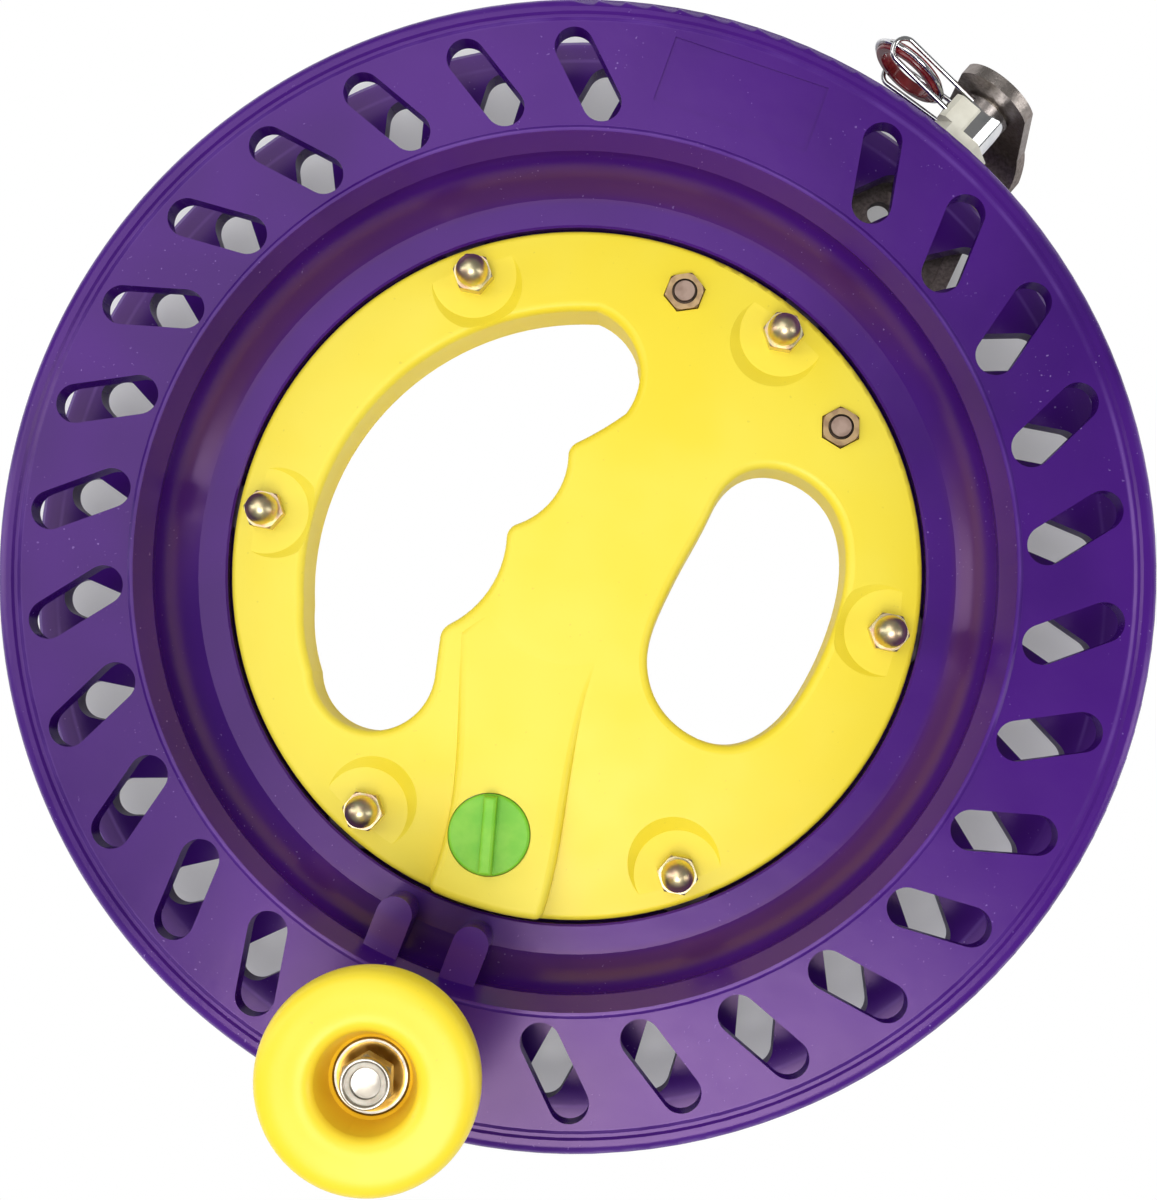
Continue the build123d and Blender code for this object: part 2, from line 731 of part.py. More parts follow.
with BuildPart() as hub_back:
    with BuildSketch(Plane.XY.offset(hub_back_z)):
        Circle(hub_radius)
    extrude(amount=parting_z - hub_back_z)
    fillet(hub_back.faces().sort_by(Axis.Z)[0].edges(), hub_edge_round)
    with BuildSketch(Plane.XY.offset(0)) as back_grip:
        with BuildLine():
            FilletPolyline(
                (-26, -61),
                (-7, -65),
                (-1, -40),
                (5, -20),
                (14, -7),
                (25, 15),
                (27, 34),
                (12, 44),
                (-8, 30),
                (-22, 6),
                (-34, -12),
                (-27, -34),
                radius=5.0,
                close=True,
            )
        make_face()
    extrude(amount=hub_back_z + hub_edge_round)
    fillet(hub_back.faces().sort_by(Axis.Z)[0].edges(), grip_back_round)
    for radius, angle in arm_bolt_places():
        with BuildSketch(flat_plane(radius, angle, arm_web)):
            Circle(arm_boss_radius)
        extrude(amount=hub_back_z + hub_edge_round - arm_web)
    with BuildSketch():
        add(finger_outline.sketch)
        add(palm_outline)
    extrude(amount=parting_z, mode=Mode.SUBTRACT)
    for radius, angle in hub_bolt_places():
        with BuildSketch(flat_plane(radius, angle, pocket_bottom_z)):
            Circle(pocket_radius)
        extrude(amount=parting_z - pocket_bottom_z, mode=Mode.SUBTRACT)
    for radius, angle in hub_bolt_places() + arm_bolt_places():
        with BuildSketch(flat_plane(radius, angle, 0)):
            Circle(hub_bolt_hole)
        extrude(amount=parting_z, mode=Mode.SUBTRACT)
    with BuildSketch(Plane.XY.offset(parting_z)):
        add(hub_hollow)
    extrude(amount=cavity_floor_z - parting_z, mode=Mode.SUBTRACT)
    with BuildSketch(Plane.XY.offset(cavity_floor_z)):
        offset(back_grip.sketch, amount=-2 * hub_wall)
        add(hub_hollow, mode=Mode.INTERSECT)
    extrude(amount=hub_wall - cavity_floor_z, mode=Mode.SUBTRACT)
save(hub_back.part, "hub_back")

# ================================================================ bolts and nuts of the hub
hub_bolt_end_z = 23.8
hex_corner_bevel = 0.35
thread_gap = 0.05


def hexagon_block(flats, height, both_ends=True):
    """Hexagon standing on XY with its corners bevelled at the top, and at the foot if asked."""
    corner = flats / sqrt(3)
    foot = corner - hex_corner_bevel if both_ends else corner + thread_gap
    with BuildPart() as block:
        with BuildSketch():
            RegularPolygon(flats / 2, 6, major_radius=False)
        extrude(amount=height)
        with BuildSketch(Plane.XZ):
            with BuildLine():
                Polyline(
                    (0, 0),
                    (foot, 0),
                    (corner + thread_gap, hex_corner_bevel),
                    (corner + thread_gap, height - hex_corner_bevel),
                    (corner - hex_corner_bevel, height),
                    (0, height),
                    close=True,
                )
            make_face()
        revolve(axis=Axis.Z, mode=Mode.INTERSECT)
    return block.part


hub_bolt_head = hexagon_block(hex_nut_flats, bolt_head_height)
with BuildPart() as hub_bolts:
    for radius, angle in hub_bolt_places():
        with Locations(turned_place(radius, angle, hub_back_z - bolt_head_height)):
            add(hub_bolt_head)
        with BuildSketch(flat_plane(radius, angle, hub_back_z)):
            Circle(bolt_radius)
        extrude(amount=hub_bolt_end_z - hub_back_z)
save(hub_bolts.part, "hub_bolts")

acorn_dome_radius = 3.2
acorn_height = 8.0
acorn_bore_depth = hub_bolt_end_z - nut_seat_z + 0.6
acorn_dome_foot = 1.0
socket_flats = 2.5
socket_depth = 1.4
with BuildPart() as acorn_nut:
    add(hexagon_block(hex_nut_flats, hex_nut_height, both_ends=False))
    with BuildSketch(Plane.XZ):
        with BuildLine():
            dome_start = acorn_height - acorn_dome_radius
            Polyline(
                (0, acorn_height),
                (0, acorn_dome_foot),
                (acorn_dome_radius, acorn_dome_foot),
                (acorn_dome_radius, dome_start),
            )
            RadiusArc((acorn_dome_radius, dome_start), (0, acorn_height), -acorn_dome_radius)
        make_face()
    revolve(axis=Axis.Z)
    with BuildSketch():
        Circle(bolt_radius + thread_gap)
    extrude(amount=acorn_bore_depth, mode=Mode.SUBTRACT)
with BuildPart() as acorn_nuts:
    with Locations(*[turned_place(radius, angle, nut_seat_z) for radius, angle in hub_bolt_places()]):
        add(acorn_nut.part)
save(acorn_nuts.part, "acorn_nuts")

arm_bolt_end_z = 22.6
countersink_radius = 3.8
countersink_depth = 1.8
with BuildPart() as arm_bolts:
    for radius, angle in arm_bolt_places():
        with BuildSketch(flat_plane(radius, angle, 0)):
            Circle(bolt_radius)
        extrude(amount=arm_bolt_end_z)
        with BuildSketch(turned_plane(radius, angle)):
            with BuildLine():
                Polyline(
                    (0, 0),
                    (countersink_radius, 0),
                    (bolt_radius, countersink_depth),
                    (0, countersink_depth),
                    close=True,
                )
            make_face()
        revolve(axis=turned_axis(radius, angle))
        with BuildSketch(flat_plane(radius, angle, 0)):
            RegularPolygon(socket_flats / 2, 6, major_radius=False)
        extrude(amount=socket_depth, mode=Mode.SUBTRACT)
save(arm_bolts.part, "arm_bolts")

hex_nut = hexagon_block(hex_nut_flats, hex_nut_height)
with BuildPart() as arm_nuts:
    for radius, angle in arm_bolt_places():
        with Locations(turned_place(radius, angle, arm_nut_seat_z)):
            add(hex_nut)
        with BuildSketch(flat_plane(radius, angle, arm_nut_seat_z)):
            Circle(bolt_radius + thread_gap)
        extrude(amount=hex_nut_height, mode=Mode.SUBTRACT)
save(arm_nuts.part, "arm_nuts")

# ================================================================ lock
with BuildPart() as lock_bolt:
    with BuildSketch(lock_plane(lock_bolt_bottom_z)):
        strip(-lock_bolt_tail, lock_bolt_shoulder, -lock_bolt_left, lock_bolt_right)
        strip(0, lock_tip, lock_side - lock_bolt_width / 2, lock_side + lock_bolt_width / 2)
    extrude(amount=lock_bolt_thickness)
    fillet(lock_bolt.edges().filter_by(Axis.Z).sort_by_distance((0, 0, 0))[-2:], lock_tip_round)
    with BuildSketch(lock_plane(lock_bolt_bottom_z)):
        pivot_room = lock_knob_pivot_radius + lock_clearance
        strip(-lock_bolt_travel, 0, -pivot_room, pivot_room)
        with Locations((0, 0), (-lock_bolt_travel, 0)):
            Circle(pivot_room)
        peg_room = lock_peg_radius + lock_peg_clearance
        peg_near = lock_bolt_travel / 2
        with Locations((-peg_near, -peg_near), (-peg_near, -lock_peg_reach)):
            Circle(peg_room)
        strip(-peg_near - peg_room, -peg_near + peg_room, -lock_peg_reach, 0)
    extrude(amount=lock_bolt_thickness, mode=Mode.SUBTRACT)
save(lock_bolt.part, "lock_bolt")

with BuildPart() as lock_plate:
    with BuildSketch(lock_plane(lock_plate_bottom_z)):
        strip(
            -lock_bolt_tail,
            lock_well_end - lock_clearance,
            -lock_bolt_left,
            lock_bolt_right + lock_ledge - lock_clearance,
        )
    extrude(amount=lock_plate_thickness)
    with BuildSketch(lock_plane(lock_plate_bottom_z)):
        Circle(lock_knob_pivot_radius + lock_clearance)
        with Locations(*[(side * lock_plate_screw_reach, lock_plate_screw_side) for side in (1, -1)]):
            Circle(lock_screw_radius + thread_gap)
    extrude(amount=lock_plate_thickness, mode=Mode.SUBTRACT)
save(lock_plate.part, "lock_plate")

lock_screw_head_radius = 2.0
lock_screw_head_height = 1.2
lock_screw_spare = 0.2
lock_pivot_play = 0.2
lock_pivot_bore_depth = 4.2
lock_knob_screw_length = 4.0
lock_knob_edge_round = 0.6
lock_knob_bar_round = 0.7
lock_knob_bar_inset = 0.4
with BuildPart() as lock_plate_screws:
    for side in (1, -1):
        with BuildSketch(lock_plane(lock_plate_bottom_z)):
            with Locations((side * lock_plate_screw_reach, lock_plate_screw_side)):
                Circle(lock_screw_radius)
        extrude(amount=lock_plate_thickness + lock_bolt_thickness - lock_screw_spare)
        with BuildSketch(lock_plane(lock_plate_bottom_z)):
            with Locations((side * lock_plate_screw_reach, lock_plate_screw_side)):
                Circle(lock_screw_head_radius)
        extrude(amount=-lock_screw_head_height)
save(lock_plate_screws.part, "lock_plate_screws")

lock_pivot_end_z = lock_plate_bottom_z - lock_pivot_play
with BuildPart() as lock_knob:
    with BuildSketch(lock_plane(lock_disc_bottom_z)):
        Circle(lock_knob_radius)
    extrude(amount=lock_knob_disc)
    fillet(lock_knob.faces().sort_by(Axis.Z)[-1].edges(), lock_knob_edge_round)
    bar_heading = lock_knob_bar_angle - tab_angle
    with BuildSketch(lock_plane(lock_disc_bottom_z)):
        with Locations(Location((0, 0, 0), (0, 0, 1), bar_heading)):
            Rectangle(2 * (lock_knob_radius - lock_knob_bar_inset), lock_knob_bar_width)
    extrude(amount=lock_knob_disc + lock_knob_bar_height)
    fillet(lock_knob.faces().sort_by(Axis.Z)[-1].edges(), lock_knob_bar_round)
    with BuildSketch(lock_plane(lock_pivot_end_z)):
        Circle(lock_knob_pivot_radius)
    extrude(amount=lock_disc_bottom_z - lock_pivot_end_z)
    with BuildSketch(lock_plane(lock_bolt_bottom_z + lock_clearance)):
        with Locations((-lock_bolt_travel / 2, -lock_bolt_travel / 2)):
            Circle(lock_peg_radius)
    extrude(amount=lock_disc_bottom_z - lock_bolt_bottom_z - lock_clearance)
    with BuildSketch(lock_plane(lock_pivot_end_z)):
        Circle(lock_screw_radius)
    extrude(amount=lock_pivot_bore_depth, mode=Mode.SUBTRACT)
save(lock_knob.part, "lock_knob")

lock_washer_radius = 4.0
lock_washer_thickness = 0.5
with BuildPart() as lock_knob_washer:
    with BuildSketch(lock_plane(lock_pivot_end_z - lock_washer_thickness)):
        Circle(lock_washer_radius)
        Circle(lock_screw_radius + thread_gap, mode=Mode.SUBTRACT)
    extrude(amount=lock_washer_thickness)
save(lock_knob_washer.part, "lock_knob_washer")

with BuildPart() as lock_knob_screw:
    with BuildSketch(lock_plane(lock_pivot_end_z - lock_washer_thickness)):
        Circle(lock_screw_radius)
    extrude(amount=lock_washer_thickness + lock_knob_screw_length)
    with BuildSketch(lock_plane(lock_pivot_end_z - lock_washer_thickness)):
        Circle(lock_screw_head_radius)
    extrude(amount=-lock_screw_head_height)
save(lock_knob_screw.part, "lock_knob_screw")

# ================================================================ winding knob
knob_seat_z = front_face_z + knob_boss_height
knob_race_low_z = knob_seat_z + knob_washer_thickness
knob_foot_z = knob_race_low_z + knob_foot_gap
knob_low_bearing_top_z = knob_race_low_z + knob_bearing_width
knob_high_bearing_low_z = knob_bearing_top_z - knob_bearing_width
knob_race_radius = 5.4
knob_bore_radius = 4.6
knob_mouth_drop = 1.4
knob_crown_radius = 13.0
knob_recess_radius = 7.0
knob_recess_step = 0.5
knob_foot_edge = 0.8

with BuildPart() as winding_knob:
    with BuildSketch(turned_plane(knob_circle, knob_angle)):
        with BuildLine():
            Polyline(
                (knob_bore_radius, knob_low_bearing_top_z),
                (knob_bearing_radius, knob_low_bearing_top_z),
                (knob_bearing_radius, knob_foot_z),
                (knob_foot_radius - knob_foot_edge, knob_foot_z),
                (knob_foot_radius, knob_foot_z + knob_foot_edge),
            )
            Spline(
                (knob_foot_radius, knob_foot_z + knob_foot_edge),
                (knob_neck_radius, knob_neck_z),
                (knob_widest_radius, knob_widest_z),
                tangents=((-0.15, 1.0), (0.0, 1.0)),
            )
            Spline(
                (knob_widest_radius, knob_widest_z),
                (knob_crown_radius, knob_crown_z),
                (knob_mouth_radius, knob_crown_z - knob_mouth_drop),
                tangents=((0.0, 1.0), (-0.4, -1.0)),
            )
            Polyline(
                (knob_mouth_radius, knob_crown_z - knob_mouth_drop),
                (knob_recess_radius, knob_bearing_top_z + knob_recess_step),
                (knob_bearing_radius, knob_bearing_top_z),
                (knob_bearing_radius, knob_high_bearing_low_z),
                (knob_bore_radius, knob_high_bearing_low_z),
                (knob_bore_radius, knob_low_bearing_top_z),
            )
        make_face()
    revolve(axis=turned_axis(knob_circle, knob_angle))
save(winding_knob.part, "winding_knob")

with BuildPart() as knob_bearing_outer_rings:
    for low_z in (knob_race_low_z, knob_high_bearing_low_z):
        ring_sizes = (knob_bearing_width, knob_bearing_radius, knob_race_radius)
        add(bearing_outer(knob_circle, knob_angle, low_z, *ring_sizes))
save(knob_bearing_outer_rings.part, "knob_bearing_outer_rings")


def knob_tube(low_z, high_z, outer, bore):
    """Tube round the knob's bolt between two heights."""
    with BuildPart() as tube:
        with BuildSketch(flat_plane(knob_circle, knob_angle, low_z)):
            Circle(outer)
            Circle(bore, mode=Mode.SUBTRACT)
        extrude(amount=high_z - low_z)
    return tube.part


knob_sleeve_bore = knob_bolt_radius + thread_gap
with BuildPart() as knob_bearing_inner_rings:
    add(knob_tube(knob_race_low_z, knob_low_bearing_top_z, bearing_inner_race_radius, knob_sleeve_bore))
    add(knob_tube(knob_high_bearing_low_z, knob_bearing_top_z, bearing_inner_race_radius, knob_sleeve_bore))
save(knob_bearing_inner_rings.part, "knob_bearing_inner_rings")

save(knob_tube(knob_seat_z, knob_race_low_z, bearing_inner_race_radius, knob_sleeve_bore), "knob_washer")
knob_nut_low_z = knob_nut_top_z - knob_nut_height
knob_bolt_end_bevel = 0.5
with BuildPart() as knob_spacers:
    add(knob_tube(knob_low_bearing_top_z, knob_high_bearing_low_z, spacer_radius, knob_sleeve_bore))
    add(knob_tube(knob_bearing_top_z, knob_nut_low_z, spacer_radius, knob_sleeve_bore))
save(knob_spacers.part, "knob_spacers")

with BuildPart() as knob_bolt:
    with Locations(turned_place(knob_circle, knob_angle, front_groove_z)):
        add(hexagon_block(knob_bolt_head_flats, knob_bolt_head_height))
    with BuildSketch(flat_plane(knob_circle, knob_angle, front_groove_z)):
        Circle(knob_bolt_radius)
    extrude(amount=knob_bolt_end_z - front_groove_z)
    chamfer(knob_bolt.faces().sort_by(Axis.Z)[-1].edges(), knob_bolt_end_bevel)
save(knob_bolt.part, "knob_bolt")

knob_nut_hex_height = 3.6
knob_nut_collar_overlap = 0.3
knob_nut_collar_round = 0.5
knob_nut_collar_z = knob_nut_low_z + knob_nut_hex_height - knob_nut_collar_overlap
with BuildPart() as knob_nut:
    with Locations(turned_place(knob_circle, knob_angle, knob_nut_low_z)):
        add(hexagon_block(knob_nut_flats, knob_nut_hex_height))
    with BuildSketch(flat_plane(knob_circle, knob_angle, knob_nut_collar_z)):
        Circle(knob_nut_collar_radius)
    extrude(amount=knob_nut_height - knob_nut_hex_height + knob_nut_collar_overlap)
    fillet(knob_nut.faces().sort_by(Axis.Z)[-1].edges(), knob_nut_collar_round)
    with BuildSketch(flat_plane(knob_circle, knob_angle, knob_nut_low_z)):
        Circle(knob_sleeve_bore)
    extrude(amount=knob_nut_height, mode=Mode.SUBTRACT)
save(knob_nut.part, "knob_nut")

# ================================================================ guide arm
head_back = head_face + head_thickness
swivel_hole = swivel_pin_radius + swivel_pin_clearance
arm_out = direction(arm_angle)
arm_left = direction(arm_angle + 90)

with BuildPart() as arm_head:
    with BuildSketch(Plane(origin=arm_left * head_left, x_dir=arm_out, z_dir=-arm_left)) as bend_section:
        with BuildLine():
            Polyline(
                (head_bend_start, 0),
                (head_back, 0),
                (head_back, head_top_z),
                (head_face, head_top_z),
                (head_face, arm_web),
                (head_bend_start, arm_web),
                close=True,
            )
        make_face()
        fillet(bend_section.vertices().sort_by_distance((head_face, arm_web))[0], head_bend)
        fillet(bend_section.vertices().sort_by_distance((head_back, 0))[0], head_bend + arm_web)
    extrude(amount=head_left + head_root_right)
    with BuildSketch(cross_plane(head_bend_start)):
        with BuildLine():
            Polyline(
                (-head_corner, head_corner_z),
                (-head_right, head_flare_z),
                (-head_root_right, arm_web),
                (-head_root_right, 0),
                (head_left, 0),
                (head_left, head_shoulder_z),
            )
            ThreePointArc(
                (head_left, head_shoulder_z),
                (swivel_side, head_top_z),
                (-head_corner, head_corner_z),
            )
        make_face()
    extrude(amount=head_back - head_bend_start, mode=Mode.INTERSECT)

with BuildPart() as guide_arm:
    with BuildSketch(arm_plane(0)) as web_outline:
        lobe_along = arm_bolt_circle * cos(radians(arm_bolt_spread))
        lobe_side = arm_bolt_circle * sin(radians(arm_bolt_spread))
        with Locations((lobe_along, lobe_side), (lobe_along, -lobe_side)):
            Circle(arm_lobe_radius)
        with Locations((arm_neck_centre, arm_neck_side)):
            Circle(arm_neck_round)
        make_hull()
        with Locations((arm_hollow_centre, 0)):
            Circle(arm_hollow_radius, mode=Mode.SUBTRACT)
        strip(arm_neck_centre, head_bend_start + arm_web, -arm_neck_right, arm_neck_left)
    extrude(amount=arm_web)
    # low ribs along the edges
    with BuildSketch(arm_plane(arm_web)):
        add(web_outline.sketch_local)
        offset(web_outline.sketch_local, amount=-arm_rib_width, mode=Mode.SUBTRACT)
        with Locations((arm_rib_start / 2, 0)):
            Rectangle(arm_rib_start, 4 * lobe_side, mode=Mode.SUBTRACT)
    extrude(amount=arm_rib_top - arm_web)
    with BuildSketch(arm_plane(0)):
        with Locations((arm_hole_along, arm_hole_side)):
            Circle(arm_hole_radius)
    extrude(amount=arm_web, mode=Mode.SUBTRACT)
    add(arm_head.part)
    with BuildSketch(cross_plane(head_face, swivel_side, swivel_z)):
        Circle(swivel_hole)
    extrude(amount=head_thickness, mode=Mode.SUBTRACT)
    for radius, angle in arm_bolt_places():
        with BuildSketch(flat_plane(radius, angle, 0)):
            Circle(hub_bolt_hole)
        extrude(amount=arm_web, mode=Mode.SUBTRACT)
        with BuildSketch(turned_plane(radius, angle)):
            with BuildLine():
                sink = countersink_radius + thread_gap
                Polyline(
                    (0, 0),
                    (sink, 0),
                    (bolt_radius + thread_gap, countersink_depth),
                    (0, countersink_depth),
                    close=True,
                )
            make_face()
        revolve(axis=turned_axis(radius, angle), mode=Mode.SUBTRACT)
save(guide_arm.part, "guide_arm")

# ================================================================ swivel and line guide
swivel_head_height = 2.4
swivel_head_radius = 3.5
swivel_head_room = 2.6
swivel_end_gap = 0.1
swivel_bolt_spare = 0.3
swivel_nut_height = 2.2
cheek_corner = 1.2
eye_outer_round = 0.5
swivel_washer_radius = 4.2
barrel_end = head_face - swivel_washer_thickness
swivel_nut_start = head_back
swivel_bolt_start = swivel_inner_end + swivel_end_gap
swivel_bolt_end = swivel_nut_start + swivel_nut_height + swivel_bolt_spare


def swivel_plane(distance):
    """Plane square to the swivel's axis at a distance along the arm: x to the left, y up."""
    return cross_plane(distance, swivel_side, swivel_z)


with BuildPart() as swivel_bolt:
    with BuildSketch(swivel_plane(swivel_bolt_start)):
        Circle(swivel_head_radius)
    extrude(amount=swivel_head_height)
    with BuildSketch(swivel_plane(swivel_bolt_start)):
        Circle(swivel_pin_radius)
    extrude(amount=swivel_bolt_end - swivel_bolt_start)
    with BuildSketch(swivel_plane(swivel_bolt_start)):
        RegularPolygon(socket_flats / 2, 6, major_radius=False)
    extrude(amount=socket_depth, mode=Mode.SUBTRACT)
save(swivel_bolt.part, "swivel_bolt")

with BuildPart() as swivel_washer:
    with BuildSketch(swivel_plane(barrel_end)):
        Circle(swivel_washer_radius)
        Circle(swivel_hole, mode=Mode.SUBTRACT)
    extrude(amount=swivel_washer_thickness)
save(swivel_washer.part, "swivel_washer")

with BuildPart() as swivel_nut:
    with Locations(swivel_plane(swivel_nut_start).location):
        add(hexagon_block(hex_nut_flats, swivel_nut_height))
    with BuildSketch(swivel_plane(swivel_nut_start)):
        Circle(swivel_hole)
    extrude(amount=swivel_nut_height, mode=Mode.SUBTRACT)
save(swivel_nut.part, "swivel_nut")


def arm_point(along, side, z):
    """Point in the arm's own directions: along it, to its left, up."""
    return arm_out * along + arm_left * side + Vector(0, 0, z)


def hairpin_ends(face):
    """Inner end, apex and heading of a hairpin's leg in its middle plane; face is 1 in front, -1 behind."""
    foot = arm_point(eye_centre, hairpin_foot_side, swivel_z + face * hairpin_foot_rise)
    apex = arm_point(eye_centre, hairpin_apex_side, swivel_z + face * hairpin_apex_rise)
    heading = (apex - foot).normalized()
    return foot - heading * hairpin_tail, apex, heading


def hairpin_legs(radius):
    """Four straight rods along the hairpins' legs."""
    with BuildPart() as rods:
        for face in (1, -1):
            inner_end, apex, heading = hairpin_ends(face)
            for side in (1, -1):
                start = inner_end + arm_out * side * hairpin_half_width
                with BuildSketch(Plane(origin=start, x_dir=arm_out, z_dir=heading)):
                    Circle(radius)
                extrude(amount=(apex - inner_end).length)
    return rods.part


with BuildPart() as guide_wire:
    with Locations(cross_plane(eye_centre, eye_side, swivel_z).location):
        Torus(eye_loop_radius, wire_radius)
    add(hairpin_legs(wire_radius))
    for face in (1, -1):
        inner_end, apex, heading = hairpin_ends(face)
        with BuildLine():
            ThreePointArc(
                apex + arm_out * hairpin_half_width,
                apex + heading * hairpin_half_width,
                apex - arm_out * hairpin_half_width,
            )
        with BuildSketch(Plane(origin=apex + arm_out * hairpin_half_width, x_dir=arm_out, z_dir=heading)):
            Circle(wire_radius)
        sweep()
save(guide_wire.part, "guide_wire")

with BuildPart() as swivel_barrel:
    with BuildSketch(swivel_plane(swivel_inner_end)):
        Circle(barrel_radius)
        Circle(swivel_hole, mode=Mode.SUBTRACT)
    extrude(amount=barrel_end - swivel_inner_end)
    with BuildSketch(swivel_plane(swivel_inner_end)):
        Circle(swivel_head_radius + 2 * bolt_clearance)
    extrude(amount=swivel_head_room, mode=Mode.SUBTRACT)
    add(hairpin_legs(wire_radius + thread_gap), mode=Mode.SUBTRACT)
save(swivel_barrel.part, "swivel_barrel")

with BuildPart() as swivel_bush:
    with BuildSketch(swivel_plane(bush_inner_end)):
        RegularPolygon(bush_flats / 2, 6, major_radius=False)
    extrude(amount=bush_collar_length)
    cheek_start = bush_inner_end + bush_collar_length
    with BuildSketch(swivel_plane(cheek_start)) as cheek:
        strip(bush_cheek_right - swivel_side, bush_cheek_left - swivel_side, 0, bush_cheek_top)
        chamfer(cheek.vertices().group_by(Axis.Y)[-1], cheek_corner)
    extrude(amount=bush_cheek_end - cheek_start)
    with BuildSketch(swivel_plane(bush_inner_end)):
        Circle(barrel_radius + thread_gap)
    extrude(amount=bush_cheek_end - bush_inner_end, mode=Mode.SUBTRACT)
    add(hairpin_legs(wire_radius + thread_gap), mode=Mode.SUBTRACT)
save(swivel_bush.part, "swivel_bush")

with BuildPart() as guide_ring:
    with BuildSketch(cross_plane(eye_centre - eye_thickness / 2, eye_side, swivel_z)):
        Circle(eye_radius)
        Circle(eye_bore_radius, mode=Mode.SUBTRACT)
    extrude(amount=eye_thickness)
    bore_round = (eye_thickness - eye_land) / 2
    fillet(guide_ring.edges().filter_by(GeomType.CIRCLE).sort_by(SortBy.RADIUS)[:2], bore_round)
    fillet(guide_ring.edges().filter_by(GeomType.CIRCLE).sort_by(SortBy.RADIUS)[-2:], eye_outer_round)
    with Locations(cross_plane(eye_centre, eye_side, swivel_z).location):
        Torus(eye_loop_radius, wire_radius + thread_gap, mode=Mode.SUBTRACT)
save(guide_ring.part, "guide_ring")
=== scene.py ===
# %% [markdown]
# # A kite line reel, dressed for its picture
# The reel's shapes, joints and sizes come from its CAD model. This script loads them as a fixed
# frame and adds what a CAD model leaves out: plastics, metals, small turned details, light and a
# camera. The unit is the metre, Z is the wheel's axis, and the winding knob stands up from the
# wheel towards +Z.

# %% Load the CAD frame
import math

import bpy
from mathutils import Matrix, Vector


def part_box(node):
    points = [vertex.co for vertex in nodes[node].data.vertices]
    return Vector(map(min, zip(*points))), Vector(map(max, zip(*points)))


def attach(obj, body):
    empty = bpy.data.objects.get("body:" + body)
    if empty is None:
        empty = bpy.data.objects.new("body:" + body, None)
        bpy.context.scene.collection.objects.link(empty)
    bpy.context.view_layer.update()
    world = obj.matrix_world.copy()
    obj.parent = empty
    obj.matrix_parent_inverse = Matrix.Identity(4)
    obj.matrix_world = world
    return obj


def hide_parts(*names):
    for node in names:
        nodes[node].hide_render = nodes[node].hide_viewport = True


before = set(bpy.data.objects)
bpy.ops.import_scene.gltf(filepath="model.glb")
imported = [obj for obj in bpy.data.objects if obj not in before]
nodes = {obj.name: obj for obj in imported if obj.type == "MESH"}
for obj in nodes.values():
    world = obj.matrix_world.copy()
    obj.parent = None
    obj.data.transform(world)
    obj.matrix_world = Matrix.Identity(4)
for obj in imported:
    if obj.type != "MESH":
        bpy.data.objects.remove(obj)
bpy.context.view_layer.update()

# %% [markdown]
# ## Camera
# The photograph looks almost straight down the wheel's axis from 39 cm, so the knob's rim leans
# over its foot and the walls of the openings show on one side. The camera's place, look and up
# directions were worked out from the circles of the flange, hub and knob. A camera looks along
# its own -Z, so its matrix is built from its right, up and backward directions.

# %% Camera
MM = 0.001
camera_place = Vector((13.94, -28.96, 388.24)) * MM
look = Vector((-0.03557, 0.06314, -0.99737)).normalized()
right = look.cross(Vector((0.00112, 0.99800, 0.06314))).normalized()
up = right.cross(look)
camera_data = bpy.data.cameras.new("picture_camera")
camera_data.lens = 56.13
camera_data.sensor_width = 36.0
camera_data.clip_start = 0.01
camera = bpy.data.objects.new("picture_camera", camera_data)
bpy.context.scene.collection.objects.link(camera)
turn = Matrix((right, up, -look)).transposed().to_4x4()
camera.matrix_world = Matrix.Translation(camera_place) @ turn
bpy.context.scene.camera = camera
print("camera at", [round(c, 3) for c in camera_place], "lens", camera_data.lens)

# %% [markdown]
# ## Shader maths as Python
# A material is a graph of nodes. Written out one by one, the graph hides the idea behind it, so
# one small class wraps a socket: adding, subtracting or multiplying two wrapped values adds the
# Math node that does it. Any other node comes from `Shader.node`.

# %% Sockets that add up
class Value:
    """A number that varies over a surface: an output socket inside a shader."""

    def __init__(self, shader, socket):
        self.shader, self.socket = shader, socket

    def _math(self, operation, a, b=None):
        values = {0: a} if b is None else {0: a, 1: b}
        return self.shader.node("ShaderNodeMath", {"operation": operation}, values)

    def __add__(self, other): return self._math("ADD", self, other)
    def __radd__(self, other): return self._math("ADD", other, self)
    def __sub__(self, other): return self._math("SUBTRACT", self, other)
    def __rsub__(self, other): return self._math("SUBTRACT", other, self)
    def __mul__(self, other): return self._math("MULTIPLY", self, other)
    def __rmul__(self, other): return self._math("MULTIPLY", other, self)
    def __pow__(self, other): return self._math("POWER", self, other)
    def __abs__(self): return self._math("ABSOLUTE", self)

    def clamped(self):
        """The same number, held between 0 and 1."""
        held = self * 1.0
        held.socket.node.use_clamp = True
        return held


